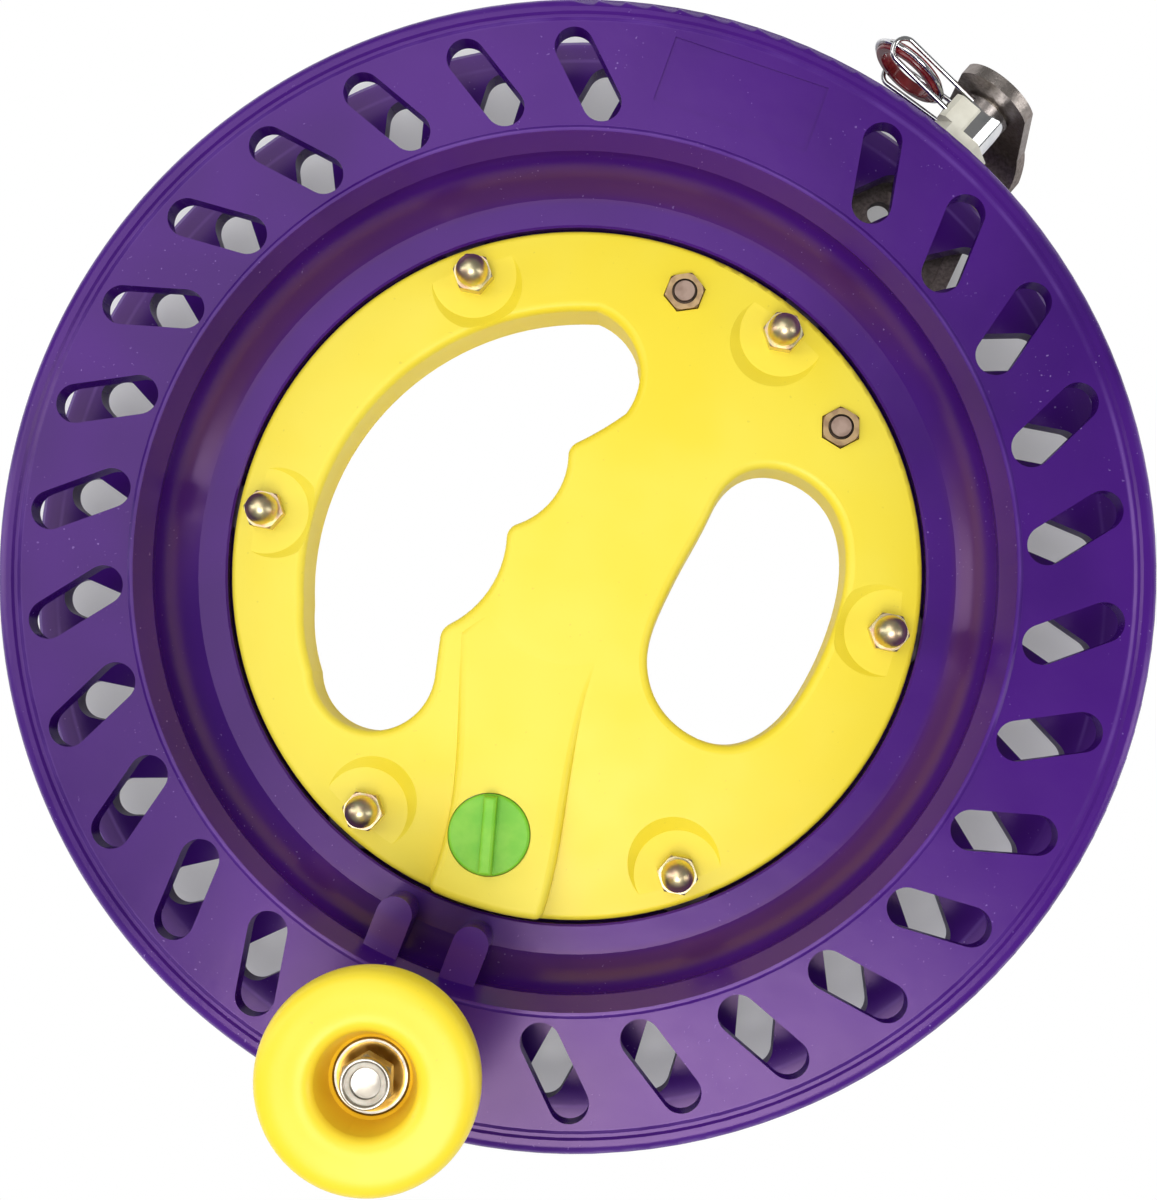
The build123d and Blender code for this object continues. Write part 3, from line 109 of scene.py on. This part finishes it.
class Shader:
    """One material under construction, with its Principled node and Object coordinates."""

    def __init__(self, name, **numbers):
        self.material = bpy.data.materials.new(name)
        self.material.use_nodes = True
        self.tree = self.material.node_tree
        self.surface = self.tree.nodes["Principled BSDF"]
        for socket, number in numbers.items():
            self.surface.inputs[socket.replace("_", " ")].default_value = number
        self.place = self.node("ShaderNodeTexCoord", output="Object")

    def node(self, kind, settings=None, values=None, output=0):
        """Adds a node: its settings first, then the values or links of its sockets."""
        made = self.tree.nodes.new(kind)
        for name, setting in (settings or {}).items():
            setattr(made, name, setting)
        for name, value in (values or {}).items():
            if isinstance(value, Value):
                self.tree.links.new(value.socket, made.inputs[name])
            else:
                made.inputs[name].default_value = value
        return Value(self, made.outputs[output])

    def into(self, socket, value):
        """Links a value into the Principled node."""
        self.tree.links.new(value.socket, self.surface.inputs[socket])

    def noise(self, scale, detail=2.0, roughness=0.5):
        """Soft cloudy values from 0 to 1, `scale` lumps to the metre."""
        sockets = {"Vector": self.place, "Scale": scale, "Detail": detail, "Roughness": roughness}
        return self.node("ShaderNodeTexNoise", {}, sockets, "Fac")

    def spread(self, value, low, high):
        """Stretches the part of a value between low and high to 0..1."""
        sockets = {"Value": value, "From Min": low, "From Max": high}
        return self.node("ShaderNodeMapRange", {"interpolation_type": "SMOOTHSTEP"}, sockets, "Result")

    def blend(self, factor, first, second):
        """Mixes two colours by a factor. A Mix node has sockets of one name for every kind of
        value, and only the enabled ones count."""
        sockets = {"Factor": factor, "A": first, "B": second}
        made = self.tree.nodes.new("ShaderNodeMix")
        made.data_type = "RGBA"
        for name, value in sockets.items():
            socket = [s for s in made.inputs if s.name == name and s.enabled][0]
            if isinstance(value, Value):
                self.tree.links.new(value.socket, socket)
            else:
                socket.default_value = value
        return Value(self, [s for s in made.outputs if s.enabled][0])

    def bump(self, height, distance, strength=1.0):
        """Raises the surface by a height, in metres of relief at full white."""
        sockets = {"Height": height, "Distance": distance, "Strength": strength}
        self.into("Normal", self.node("ShaderNodeBump", {}, sockets, "Normal"))

    def radius(self, centre=(0.0, 0.0)):
        """Distance from an upright axis, which is the wheel's unless another is given."""
        axes = self.node("ShaderNodeSeparateXYZ", {}, {"Vector": self.place}, "X")
        x, y = axes - centre[0], Value(self, axes.socket.node.outputs["Y"]) - centre[1]
        return (x * x + y * y) ** 0.5

    def facing_up(self):
        """How far a surface faces the front: 1 on level faces, 0 on upright walls, and below 0
        on faces that look to the back."""
        facing = self.node("ShaderNodeNewGeometry", {}, {}, "Normal")
        return self.node("ShaderNodeSeparateXYZ", {}, {"Vector": facing}, "Z")

    def height(self):
        """Height over the frame's origin, which lies in the reel's back."""
        return self.node("ShaderNodeSeparateXYZ", {}, {"Vector": self.place}, "Z")


def colour(red, green, blue):
    """A colour as a paint program shows it, 0 to 255, turned into the linear values of a shader."""
    linear = [((c / 255 + 0.055) / 1.055) ** 2.4 if c > 10 else c / 255 / 12.92 for c in (red, green, blue)]
    return (*linear, 1.0)


def give(material, *names):
    """Puts a finish on CAD nodes, in every slot they have."""
    for name in names:
        for slot in nodes[name].material_slots:
            slot.material = material


print("shader helpers ready")

# %% [markdown]
# ## Violet moulding
# The wheel is a glossy injection moulding. Up close it isn't one colour: cloudy where the plastic
# flowed, with painted highlights as paler rings along its beads and rim, and with tiny scuffs and
# dust. The highlight rings are found from the distance to the wheel's axis, the scuffs from a noise
# whose highest peaks alone count. The curved wall round the hub is browner in places, because the
# yellow hub shines on it.

# %% Violet finish
wall_foot, wall_low, wall_high, wall_top = 0.0735, 0.0765, 0.0784, 0.0806
inner_bead, outer_bead = 0.0844, 0.1058
rim_start, rim_end = 0.1078, 0.1100
highlight_violet, dusty_violet = colour(150, 112, 205), colour(175, 150, 215)

violet = Shader("violet_plastic", IOR=1.48, Specular_Tint=(1.0, 0.66, 1.0, 1.0))
clouds = violet.noise(14.0, 3.0, 0.55)
base = violet.blend(violet.spread(clouds, 0.32, 0.68), colour(50, 11, 99), colour(68, 19, 122))
edge = violet.radius()
wall = violet.spread(edge, wall_foot, wall_low) * violet.spread(edge, wall_top, wall_high)
glow = wall * violet.spread(violet.noise(11.0, 2.0, 0.5), 0.36, 0.6)
base = violet.blend((glow * 0.55).clamped(), base, colour(84, 46, 62))
# Painted highlights: paler rings on the beads and along the rim's edge, broken up by a noise.
rings = violet.spread(abs(edge - inner_bead), 0.0008, 0.0)
rings = rings + violet.spread(abs(edge - outer_bead), 0.0006, 0.0)
rings = rings + violet.spread(edge, rim_start, rim_end)
broken = violet.spread(violet.noise(45.0, 3.0, 0.6), 0.25, 0.7)
base = violet.blend((rings * broken * 0.22).clamped(), base, highlight_violet)
scuffs = violet.spread(violet.noise(1500.0, 1.0, 0.4), 0.73, 0.80)
scuffs = scuffs * violet.spread(violet.noise(60.0), 0.48, 0.62)
base = violet.blend((scuffs * 0.4).clamped(), base, dusty_violet)
violet.into("Base Color", base)
violet.into("Roughness", 0.16 + 0.14 * violet.noise(70.0, 4.0, 0.6) + 0.25 * scuffs)
violet.bump(violet.noise(160.0, 3.0, 0.5), 0.00012, 0.35)
give(violet.material, "wheel_front", "wheel_back")
print("violet:", len(violet.tree.nodes), "nodes")

# %% [markdown]
# ## Yellow mouldings
# The hub and the winding knob are bright yellow, cloudy where the walls change thickness. The
# knob's mouth is a deeper orange, because light bounces from wall to wall in there. Some of it
# comes through the plastic, which a weak glow stands for. A very fine bump keeps the flat faces
# from looking like glass.

# %% Yellow finishes
mouth_edge, mouth_wall = 0.0102, 0.0068
mouth_glow = colour(104, 70, 0)
dusty_yellow = colour(205, 185, 60)


def yellow_plastic(name, light, deep, rough, mouth=None, mouth_tone=None):
    """A bright moulding, cloudy between two tones, with a deeper tone about a mouth's axis."""
    paint = Shader(name, IOR=1.46)
    tone = paint.spread(paint.noise(22.0, 3.0, 0.55), 0.35, 0.7)
    face = paint.blend(tone, light, deep)
    if mouth:
        depth = paint.spread(paint.radius(mouth), mouth_edge, mouth_wall)
        face = paint.blend(depth, face, mouth_tone)
        paint.into("Emission Color", paint.blend(depth, (0, 0, 0, 1), mouth_glow))
        paint.surface.inputs["Emission Strength"].default_value = 1.0
    dust = paint.spread(paint.noise(900.0, 1.0, 0.4), 0.75, 0.81) * 0.3
    paint.into("Base Color", paint.blend(dust.clamped(), face, dusty_yellow))
    paint.into("Roughness", rough + 0.12 * paint.noise(90.0, 3.0, 0.6))
    paint.bump(paint.noise(240.0, 2.0, 0.5), 0.0001, 0.3)
    return paint.material


def middle(node):
    """The x and y of a CAD node's middle."""
    low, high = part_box(node)
    return (low[0] + high[0]) / 2, (low[1] + high[1]) / 2


knob_axis = middle("knob_washer")
hub_yellow = yellow_plastic("hub_yellow", colour(246, 227, 74), colour(245, 221, 48), 0.34)
knob_tones = (colour(245, 223, 54), colour(245, 216, 40))
knob_yellow = yellow_plastic("knob_yellow", *knob_tones, 0.3, knob_axis, colour(255, 208, 50))
give(hub_yellow, "hub_front", "hub_back")
give(knob_yellow, "winding_knob")
print("yellows:", hub_yellow.name, knob_yellow.name, "knob axis:", [round(c, 4) for c in knob_axis])

# %% [markdown]
# ## Green lock knob
# The lock's knob is a softer, slightly cloudy green plastic. Its tone follows a noise, and its
# roughness stays high enough that its grip bar reads as a matt ridge.

# %% Green finish
lock_green = Shader("lock_green", IOR=1.46, Subsurface_Weight=0.08, Subsurface_Scale=0.002)
veil = lock_green.spread(lock_green.noise(160.0, 3.0, 0.6), 0.35, 0.7)
lock_green.into("Base Color", lock_green.blend(veil, colour(120, 200, 44), colour(142, 212, 60)))
lock_green.into("Roughness", 0.34 + 0.14 * lock_green.noise(300.0, 2.0, 0.5))
lock_green.bump(lock_green.noise(700.0, 2.0, 0.5), 0.00006, 0.35)
give(lock_green.material, "lock_knob")
print("green:", lock_green.material.name)

# %% [markdown]
# ## Metals
# Yellow zinc plating on the nuts shifts between straw, rose and olive. Bolts are plain steel, the
# bearings' rings in the wheel are darkened as painted shade, and those in the knob are lighter. The knob's
# bolt has a sawn end, which shines less than a turned one. The wire and barrel of the line guide
# are plated, and mirror the studio.

# %% Metal finishes
def metal(name, tones, rough, grain, relief, scale=320.0):
    """A metal whose tint wanders between its tones, with a grain in its gloss."""
    finish = Shader(name, Metallic=1.0)
    tint, *others = tones
    for step, tone in enumerate(others):
        wander = finish.noise(scale * (1 + 0.7 * step), 2.0, 0.5)
        tint = finish.blend(finish.spread(wander, 0.4, 0.62), tint, tone)
    finish.into("Base Color", tint)
    finish.into("Roughness", rough + grain * finish.noise(scale * 4, 3.0, 0.6))
    finish.bump(finish.noise(scale * 5, 2.0, 0.6), relief, 0.5)
    return finish.material


straw, rose, olive = colour(238, 216, 172), colour(222, 190, 162), colour(216, 206, 166)
zinc = metal("yellow_zinc", [straw, rose, olive], 0.28, 0.16, 0.00003)
steel = metal("plain_steel", [colour(168, 160, 148), colour(196, 190, 180)], 0.24, 0.2, 0.00003)
race_steel = metal("race_steel", [colour(142, 136, 126), colour(176, 168, 152)], 0.24, 0.16, 0.00002)
dull_steel = metal("dull_steel", [colour(158, 134, 120), colour(182, 158, 144)], 0.46, 0.16, 0.00003)
sawn_steel = metal("sawn_steel", [colour(206, 180, 164), colour(186, 158, 142)], 0.74, 0.12, 0.00004)
# Painted shade: a dark steel for the wheel's bearing rings, balls and spacers, standing for the shade they
# lie in.
shade_darkened = metal("shade_darkened_steel", [colour(66, 60, 66), colour(88, 80, 84)], 0.42, 0.2, 0.00003)
bright = metal("bright_plating", [colour(228, 228, 228), colour(214, 216, 218)], 0.05, 0.06, 0.000005)
worn_zinc = metal("worn_zinc", [colour(196, 166, 124), colour(168, 138, 106)], 0.3, 0.2, 0.00004)
give(zinc, "acorn_nuts", "hub_bolts")
give(worn_zinc, "arm_nuts")
give(steel, "knob_washer", "knob_spacers", "knob_nut", "lock_bolt")
give(dull_steel, "arm_bolts")
give(sawn_steel, "knob_bolt")
give(steel, "lock_plate_screws", "lock_knob_screw", "lock_knob_washer", "wheel_screws")
give(steel, "swivel_bolt", "swivel_washer", "swivel_nut")
give(race_steel, "knob_bearing_inner_rings", "knob_bearing_outer_rings")
# The wheel's bearing parts get the dark steel of painted shade.
give(shade_darkened, "bearing_inner_rings", "bearing_balls", "bearing_spacers")
give(shade_darkened, *["bearing_ring_%d" % k for k in range(1, 7)])
give(bright, "swivel_barrel", "guide_wire")
print("metals:", zinc.name, steel.name, dull_steel.name, race_steel.name, shade_darkened.name, bright.name)

# %% [markdown]
# ## Casting, glazed eye and cream bush
# The guide arm is cast: brown-grey and grainy, with a painted highlight on the edges of its head
# that face the front, which are also glossier. The line runs through a dark red glazed eye, and a
# cream moulded bush carries the wire.

# %% Casting, glaze and cream
lit_faces_from, lit_faces_full = 0.014, 0.022

casting = Shader("cast_metal", Metallic=0.9)
skin = casting.noise(1300.0, 4.0, 0.6)
# Painted highlight: faces high on the head that look to the front get a lighter colour and less roughness.
lit_faces = casting.spread(casting.facing_up(), 0.25, 0.8)
lit_faces = lit_faces * casting.spread(casting.height(), lit_faces_from, lit_faces_full)
tone = casting.blend(casting.spread(skin, 0.34, 0.66), colour(118, 107, 101), colour(148, 137, 130))
casting.into("Base Color", casting.blend((lit_faces * 0.6).clamped(), tone, colour(172, 165, 160)))
casting.into("Roughness", 0.46 - 0.12 * lit_faces - 0.12 * skin)
casting.bump(skin, 0.00014, 0.4)
give(casting.material, "guide_arm")

eye_glaze = Shader("red_glaze", Coat_Weight=0.6, Coat_Roughness=0.05)
clouding = eye_glaze.spread(eye_glaze.noise(300.0), 0.35, 0.65)
eye_glaze.into("Base Color", eye_glaze.blend(clouding, colour(98, 12, 18), colour(130, 24, 30)))
eye_glaze.into("Roughness", 0.14 + 0.1 * eye_glaze.noise(500.0))
give(eye_glaze.material, "guide_ring")

cream = Shader("cream_moulding")
clouding = cream.spread(cream.noise(200.0, 3.0), 0.35, 0.65)
cream.into("Base Color", cream.blend(clouding, colour(232, 230, 214), colour(218, 215, 198)))
cream.into("Roughness", 0.36 + 0.15 * cream.noise(420.0))
cream.bump(cream.noise(600.0), 0.00006, 0.3)
give(cream.material, "swivel_bush", "lock_plate")
print("casting, glaze and cream ready")

# %% [markdown]
# ## Modelling tools
# New pieces start from a primitive and are shaped in edit mode. Three small helpers keep that
# readable: one deselects everything, one picks the faces at a height, and one moves a finished
# piece's place into its mesh, so that its origin is the frame's origin.

# %% Modelling helpers
def start_clean():
    """Deselects every object, so that an operator works on the new piece alone."""
    bpy.ops.object.select_all(action="DESELECT")


def pick_faces(piece, height, reach=1e-6):
    """In edit mode, selects the level faces of a piece at a height, and nothing else."""
    bpy.ops.mesh.select_mode(type="FACE")
    bpy.ops.mesh.select_all(action="DESELECT")
    bpy.ops.object.mode_set(mode="OBJECT")
    for face in piece.data.polygons:
        level = (piece.matrix_world @ face.center).z
        face.select = abs(level - height) < reach and abs(face.normal.z) > 0.9
    bpy.ops.object.mode_set(mode="EDIT")


def settle(piece, material, body, name, angle=30.0):
    """Names a piece, gives it its finish and its body, and moves its place into its mesh."""
    start_clean()
    piece.select_set(True)
    bpy.context.view_layer.objects.active = piece
    bpy.ops.object.transform_apply(location=True, rotation=True, scale=True)
    bpy.ops.object.shade_smooth_by_angle(angle=math.radians(angle))
    piece.name = name
    piece.data.materials.clear()
    piece.data.materials.append(material)
    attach(piece, body)


print("modelling helpers ready")

# %% [markdown]
# ## Locking nut
# The nut in the knob's mouth is a hexagon with its corners turned off, and a rolled collar that
# holds a ring of nylon. The corners are turned by keeping only what the hexagon shares with a
# cone. The collar starts as a disc that reaches a little into the hexagon, and its top face is
# inset and sunk twice: once for the nylon, once for the bolt.

# %% Locking nut
nut_low, nut_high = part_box("knob_nut")
nut_flats = 0.008
hexagon_height = 0.0036
collar_radius = 0.0042
collar_rim = 0.0006
collar_foot = 0.0003
collar_edge = 0.00022
nylon_width = 0.0010
nylon_sink = 0.0005
bore_sink = 0.0008
nut_bore = 0.00255

start_clean()
hexagon_middle = (*knob_axis, nut_low[2] + hexagon_height / 2)
corner_radius = nut_flats / 2 / math.cos(math.radians(30))
hexagon_sizes = {"vertices": 6, "radius": corner_radius, "depth": hexagon_height}
bpy.ops.mesh.primitive_cylinder_add(location=hexagon_middle, **hexagon_sizes)
hexagon = bpy.context.object
start_clean()
cone_sizes = {"radius1": 2 * corner_radius, "radius2": nut_flats / 2, "depth": hexagon_height}
bpy.ops.mesh.primitive_cone_add(vertices=96, location=hexagon_middle, **cone_sizes)
cone = bpy.context.object
corners = hexagon.modifiers.new("turned_corners", "BOOLEAN")
corners.operation, corners.object = "INTERSECT", cone
bpy.context.view_layer.objects.active = hexagon
bpy.ops.object.modifier_apply(modifier=corners.name)
bpy.data.objects.remove(cone)

start_clean()
collar_low = nut_low[2] + hexagon_height - collar_foot
collar_height = nut_high[2] - collar_low
collar_middle = (*knob_axis, collar_low + collar_height / 2)
collar_sizes = {"vertices": 72, "radius": collar_radius, "depth": collar_height}
bpy.ops.mesh.primitive_cylinder_add(location=collar_middle, **collar_sizes)
collar = bpy.context.object
bpy.ops.object.mode_set(mode="EDIT")
pick_faces(collar, nut_high[2])
for rim, sink in ((collar_rim, nylon_sink), (nylon_width, bore_sink)):
    bpy.ops.mesh.inset(thickness=rim)
    bpy.ops.mesh.extrude_region_move(TRANSFORM_OT_translate={"value": (0, 0, -sink)})
bpy.ops.object.mode_set(mode="OBJECT")
rolled = collar.modifiers.new("rolled_edges", "BEVEL")
rolled.width, rolled.segments, rolled.limit_method = collar_edge, 3, "ANGLE"
bpy.ops.object.modifier_apply(modifier=rolled.name)
hexagon.select_set(True)
bpy.context.view_layer.objects.active = hexagon
collar.select_set(True)
bpy.ops.object.join()
settle(hexagon, steel, "wheel", "locking_nut")
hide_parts("knob_nut")
print("locking nut:", len(hexagon.data.polygons), "faces")

# %% [markdown]
# The nylon is a ring of its own, pressed under the collar's rim. It is a torus flattened along the
# bolt's axis, pale and waxy.

# %% Nylon ring
nylon_drop = 0.0007
nylon_flatness = 0.5

nylon = Shader("pale_nylon", Subsurface_Weight=0.1, Subsurface_Scale=0.001)
clouding = nylon.spread(nylon.noise(500.0, 3.0), 0.35, 0.65)
nylon.into("Base Color", nylon.blend(clouding, colour(214, 206, 190), colour(188, 178, 160)))
nylon.into("Roughness", 0.42 + 0.12 * nylon.noise(900.0))
nylon.bump(nylon.noise(1200.0), 0.00003, 0.4)
start_clean()
ring_middle = (nut_bore + collar_radius - collar_rim) / 2
ring_half = (collar_radius - collar_rim - nut_bore) / 2
ring_place = (*knob_axis, nut_high[2] - nylon_drop)
ring_sizes = {"major_radius": ring_middle, "minor_radius": ring_half}
bpy.ops.mesh.primitive_torus_add(major_segments=72, minor_segments=16, location=ring_place, **ring_sizes)
nylon_ring = bpy.context.object
bpy.ops.object.mode_set(mode="EDIT")
bpy.ops.transform.resize(value=(1, 1, nylon_flatness), center_override=ring_place)
bpy.ops.object.mode_set(mode="OBJECT")
settle(nylon_ring, nylon.material, "wheel", "nylon_ring", 60.0)
print("nylon ring:", len(nylon_ring.data.polygons), "faces")

# %% [markdown]
# ## Bearing shield
# The ball bearing in the knob's mouth is closed by a thin pressed shield that sits a little inside
# its outer ring. It is a flat disc with a low step near its edge and a hole cut for the bolt, and
# its polished face is painted golden, a painted reflection of the yellow of the mouth.

# %% Bearing shield
shield_gap = 0.0008
shield_hole = 0.0036
shield_thickness = 0.0003
shield_border = 0.0005
step_width, step_sink = 0.0003, 0.00012
cutter_height = 0.002

ring_low, ring_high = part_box("knob_bearing_outer_rings")
shield_radius = (ring_high[0] - ring_low[0]) / 2 - shield_gap
shield_place = (*knob_axis, ring_high[2])

start_clean()
shield_sizes = {"vertices": 96, "radius": shield_radius, "depth": shield_thickness}
bpy.ops.mesh.primitive_cylinder_add(location=shield_place, **shield_sizes)
shield = bpy.context.object
bpy.ops.object.mode_set(mode="EDIT")
pick_faces(shield, ring_high[2] + shield_thickness / 2)
bpy.ops.mesh.inset(thickness=shield_border)
bpy.ops.mesh.inset(thickness=step_width, depth=-step_sink)
bpy.ops.object.mode_set(mode="OBJECT")
start_clean()
cutter_sizes = {"vertices": 64, "radius": shield_hole, "depth": cutter_height}
bpy.ops.mesh.primitive_cylinder_add(location=shield_place, **cutter_sizes)
hole_cutter = bpy.context.object
hole = shield.modifiers.new("bolt_hole", "BOOLEAN")
hole.operation, hole.object = "DIFFERENCE", hole_cutter
bpy.context.view_layer.objects.active = shield
bpy.ops.object.modifier_apply(modifier=hole.name)
bpy.data.objects.remove(hole_cutter)
# Painted reflection: the shield's golden tint stands for the yellow mouth mirrored in it.
reflection_gold = metal("shield_steel", [colour(176, 134, 58), colour(204, 164, 84)], 0.26, 0.12, 0.00001)
settle(shield, reflection_gold, "knob", "bearing_shield")
print("bearing shield:", len(shield.data.polygons), "faces")

# %% [markdown]
# ## Thread ends
# Round the end of each bolt of the guide arm, where it comes up through its nut, runs a dark gap.
# It is a flat dark ring of painted shade that lies on the nut, standing for the shade in the gap.
# The two bolts stand on one circle round the hub's middle, to the left and right of the arm.

# %% Thread ends
# Painted shade: a dark ring on each arm nut stands for the shade in the gap round the bolt.
gap_shade = metal("gap_shade_thread", [colour(52, 44, 38), colour(78, 66, 56)], 0.4, 0.2, 0.00003)
arm_bolt_circle = 0.0596
arm_direction = math.radians(48.4)
arm_bolt_spread = math.radians(20.1)
arm_bolt_radius = 0.002
gap_width = 0.00035
gap_flatness = 0.4
nut_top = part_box("arm_nuts")[1][2]

for number, side in enumerate((1, -1), start=1):
    bolt_direction = arm_direction + side * arm_bolt_spread
    place = (arm_bolt_circle * math.cos(bolt_direction), arm_bolt_circle * math.sin(bolt_direction), nut_top)
    start_clean()
    ring_sizes = {"major_radius": arm_bolt_radius + gap_width / 2, "minor_radius": gap_width}
    bpy.ops.mesh.primitive_torus_add(major_segments=48, minor_segments=8, location=place, **ring_sizes)
    thread_ring = bpy.context.object
    bpy.ops.object.mode_set(mode="EDIT")
    bpy.ops.transform.resize(value=(1, 1, gap_flatness), center_override=place)
    bpy.ops.object.mode_set(mode="OBJECT")
    settle(thread_ring, gap_shade, "hub", "arm_thread_%d" % number, 60.0)
print("thread rings at height", round(nut_top, 4))

# %% [markdown]
# ## Studio
# The reel lies on a white table, a hair under its back. The table is pure white for the camera,
# except under the slotted flange, where the reel's soft shadow shows through the slots.

# %% Floor
table_size, table_drop = 3.0, 0.0004
shade_start, shade_full, shade_fading, shade_end = 0.0740, 0.0800, 0.1150, 0.1175
shade = 0.75

start_clean()
bpy.ops.mesh.primitive_plane_add(size=table_size, location=(0, 0, -table_drop))
floor = bpy.context.object
floor.name = "floor"
paper = Shader("white_paper", Specular_IOR_Level=0.0, Emission_Strength=1.0, Roughness=0.9)
from_axis = paper.radius()
under_slots = paper.spread(from_axis, shade_start, shade_full)
under_slots = under_slots * paper.spread(from_axis, shade_end, shade_fading)
seen = paper.node("ShaderNodeLightPath", output="Is Camera Ray")
plain_white = (seen * (1.0 - shade * under_slots)).clamped()
paper.into("Base Color", paper.blend(plain_white, colour(240, 240, 242), (0, 0, 0, 1)))
paper.into("Emission Color", paper.blend(plain_white, (0, 0, 0, 1), (1, 1, 1, 1)))
floor.data.materials.append(paper.material)
print("floor:", len(paper.tree.nodes), "nodes")

# %% [markdown]
# A white room fills the shadows, but the plastics mirror it darker than it lights them. A bright
# lamp stands over the near edge, so the flange mirrors it there, and a broad weak one over the
# far left edge. Two weak strips give the metals an edge of light from either side.

# %% Room and lamps
fill_light, mirrored_light = 0.42, 0.2

world = bpy.data.worlds.new("studio")
bpy.context.scene.world = world
world.use_nodes = True
room = world.node_tree
background = room.nodes["Background"]
path = room.nodes.new("ShaderNodeLightPath")
level = room.nodes.new("ShaderNodeMapRange")
level.inputs["To Min"].default_value = fill_light
level.inputs["To Max"].default_value = mirrored_light
room.links.new(path.outputs["Is Glossy Ray"], level.inputs["Value"])
room.links.new(level.outputs["Result"], background.inputs["Strength"])
background.inputs["Color"].default_value = (1, 1, 1, 1)


def soft_lamp(name, place, size, watts):
    """An area lamp that faces the reel."""
    data = bpy.data.lights.new(name, "AREA")
    data.shape, data.energy = "RECTANGLE", watts
    data.size, data.size_y = size
    lamp = bpy.data.objects.new(name, data)
    lamp.location = place
    lamp.rotation_euler = (-Vector(place)).to_track_quat("-Z", "Y").to_euler()
    bpy.context.scene.collection.objects.link(lamp)


soft_lamp("near_lamp", (-0.03, -0.44, 1.12), (0.58, 0.50), 6.4)
soft_lamp("far_left_lamp", (-0.35, 0.33, 1.15), (0.85, 0.95), 4.0)
soft_lamp("left_strip", (-0.9, 0.1, 0.55), (0.25, 1.0), 2.2)
soft_lamp("right_strip", (0.95, -0.2, 0.5), (0.2, 0.8), 1.6)
bpy.context.scene.view_settings.view_transform = "Standard"
print("studio lit")
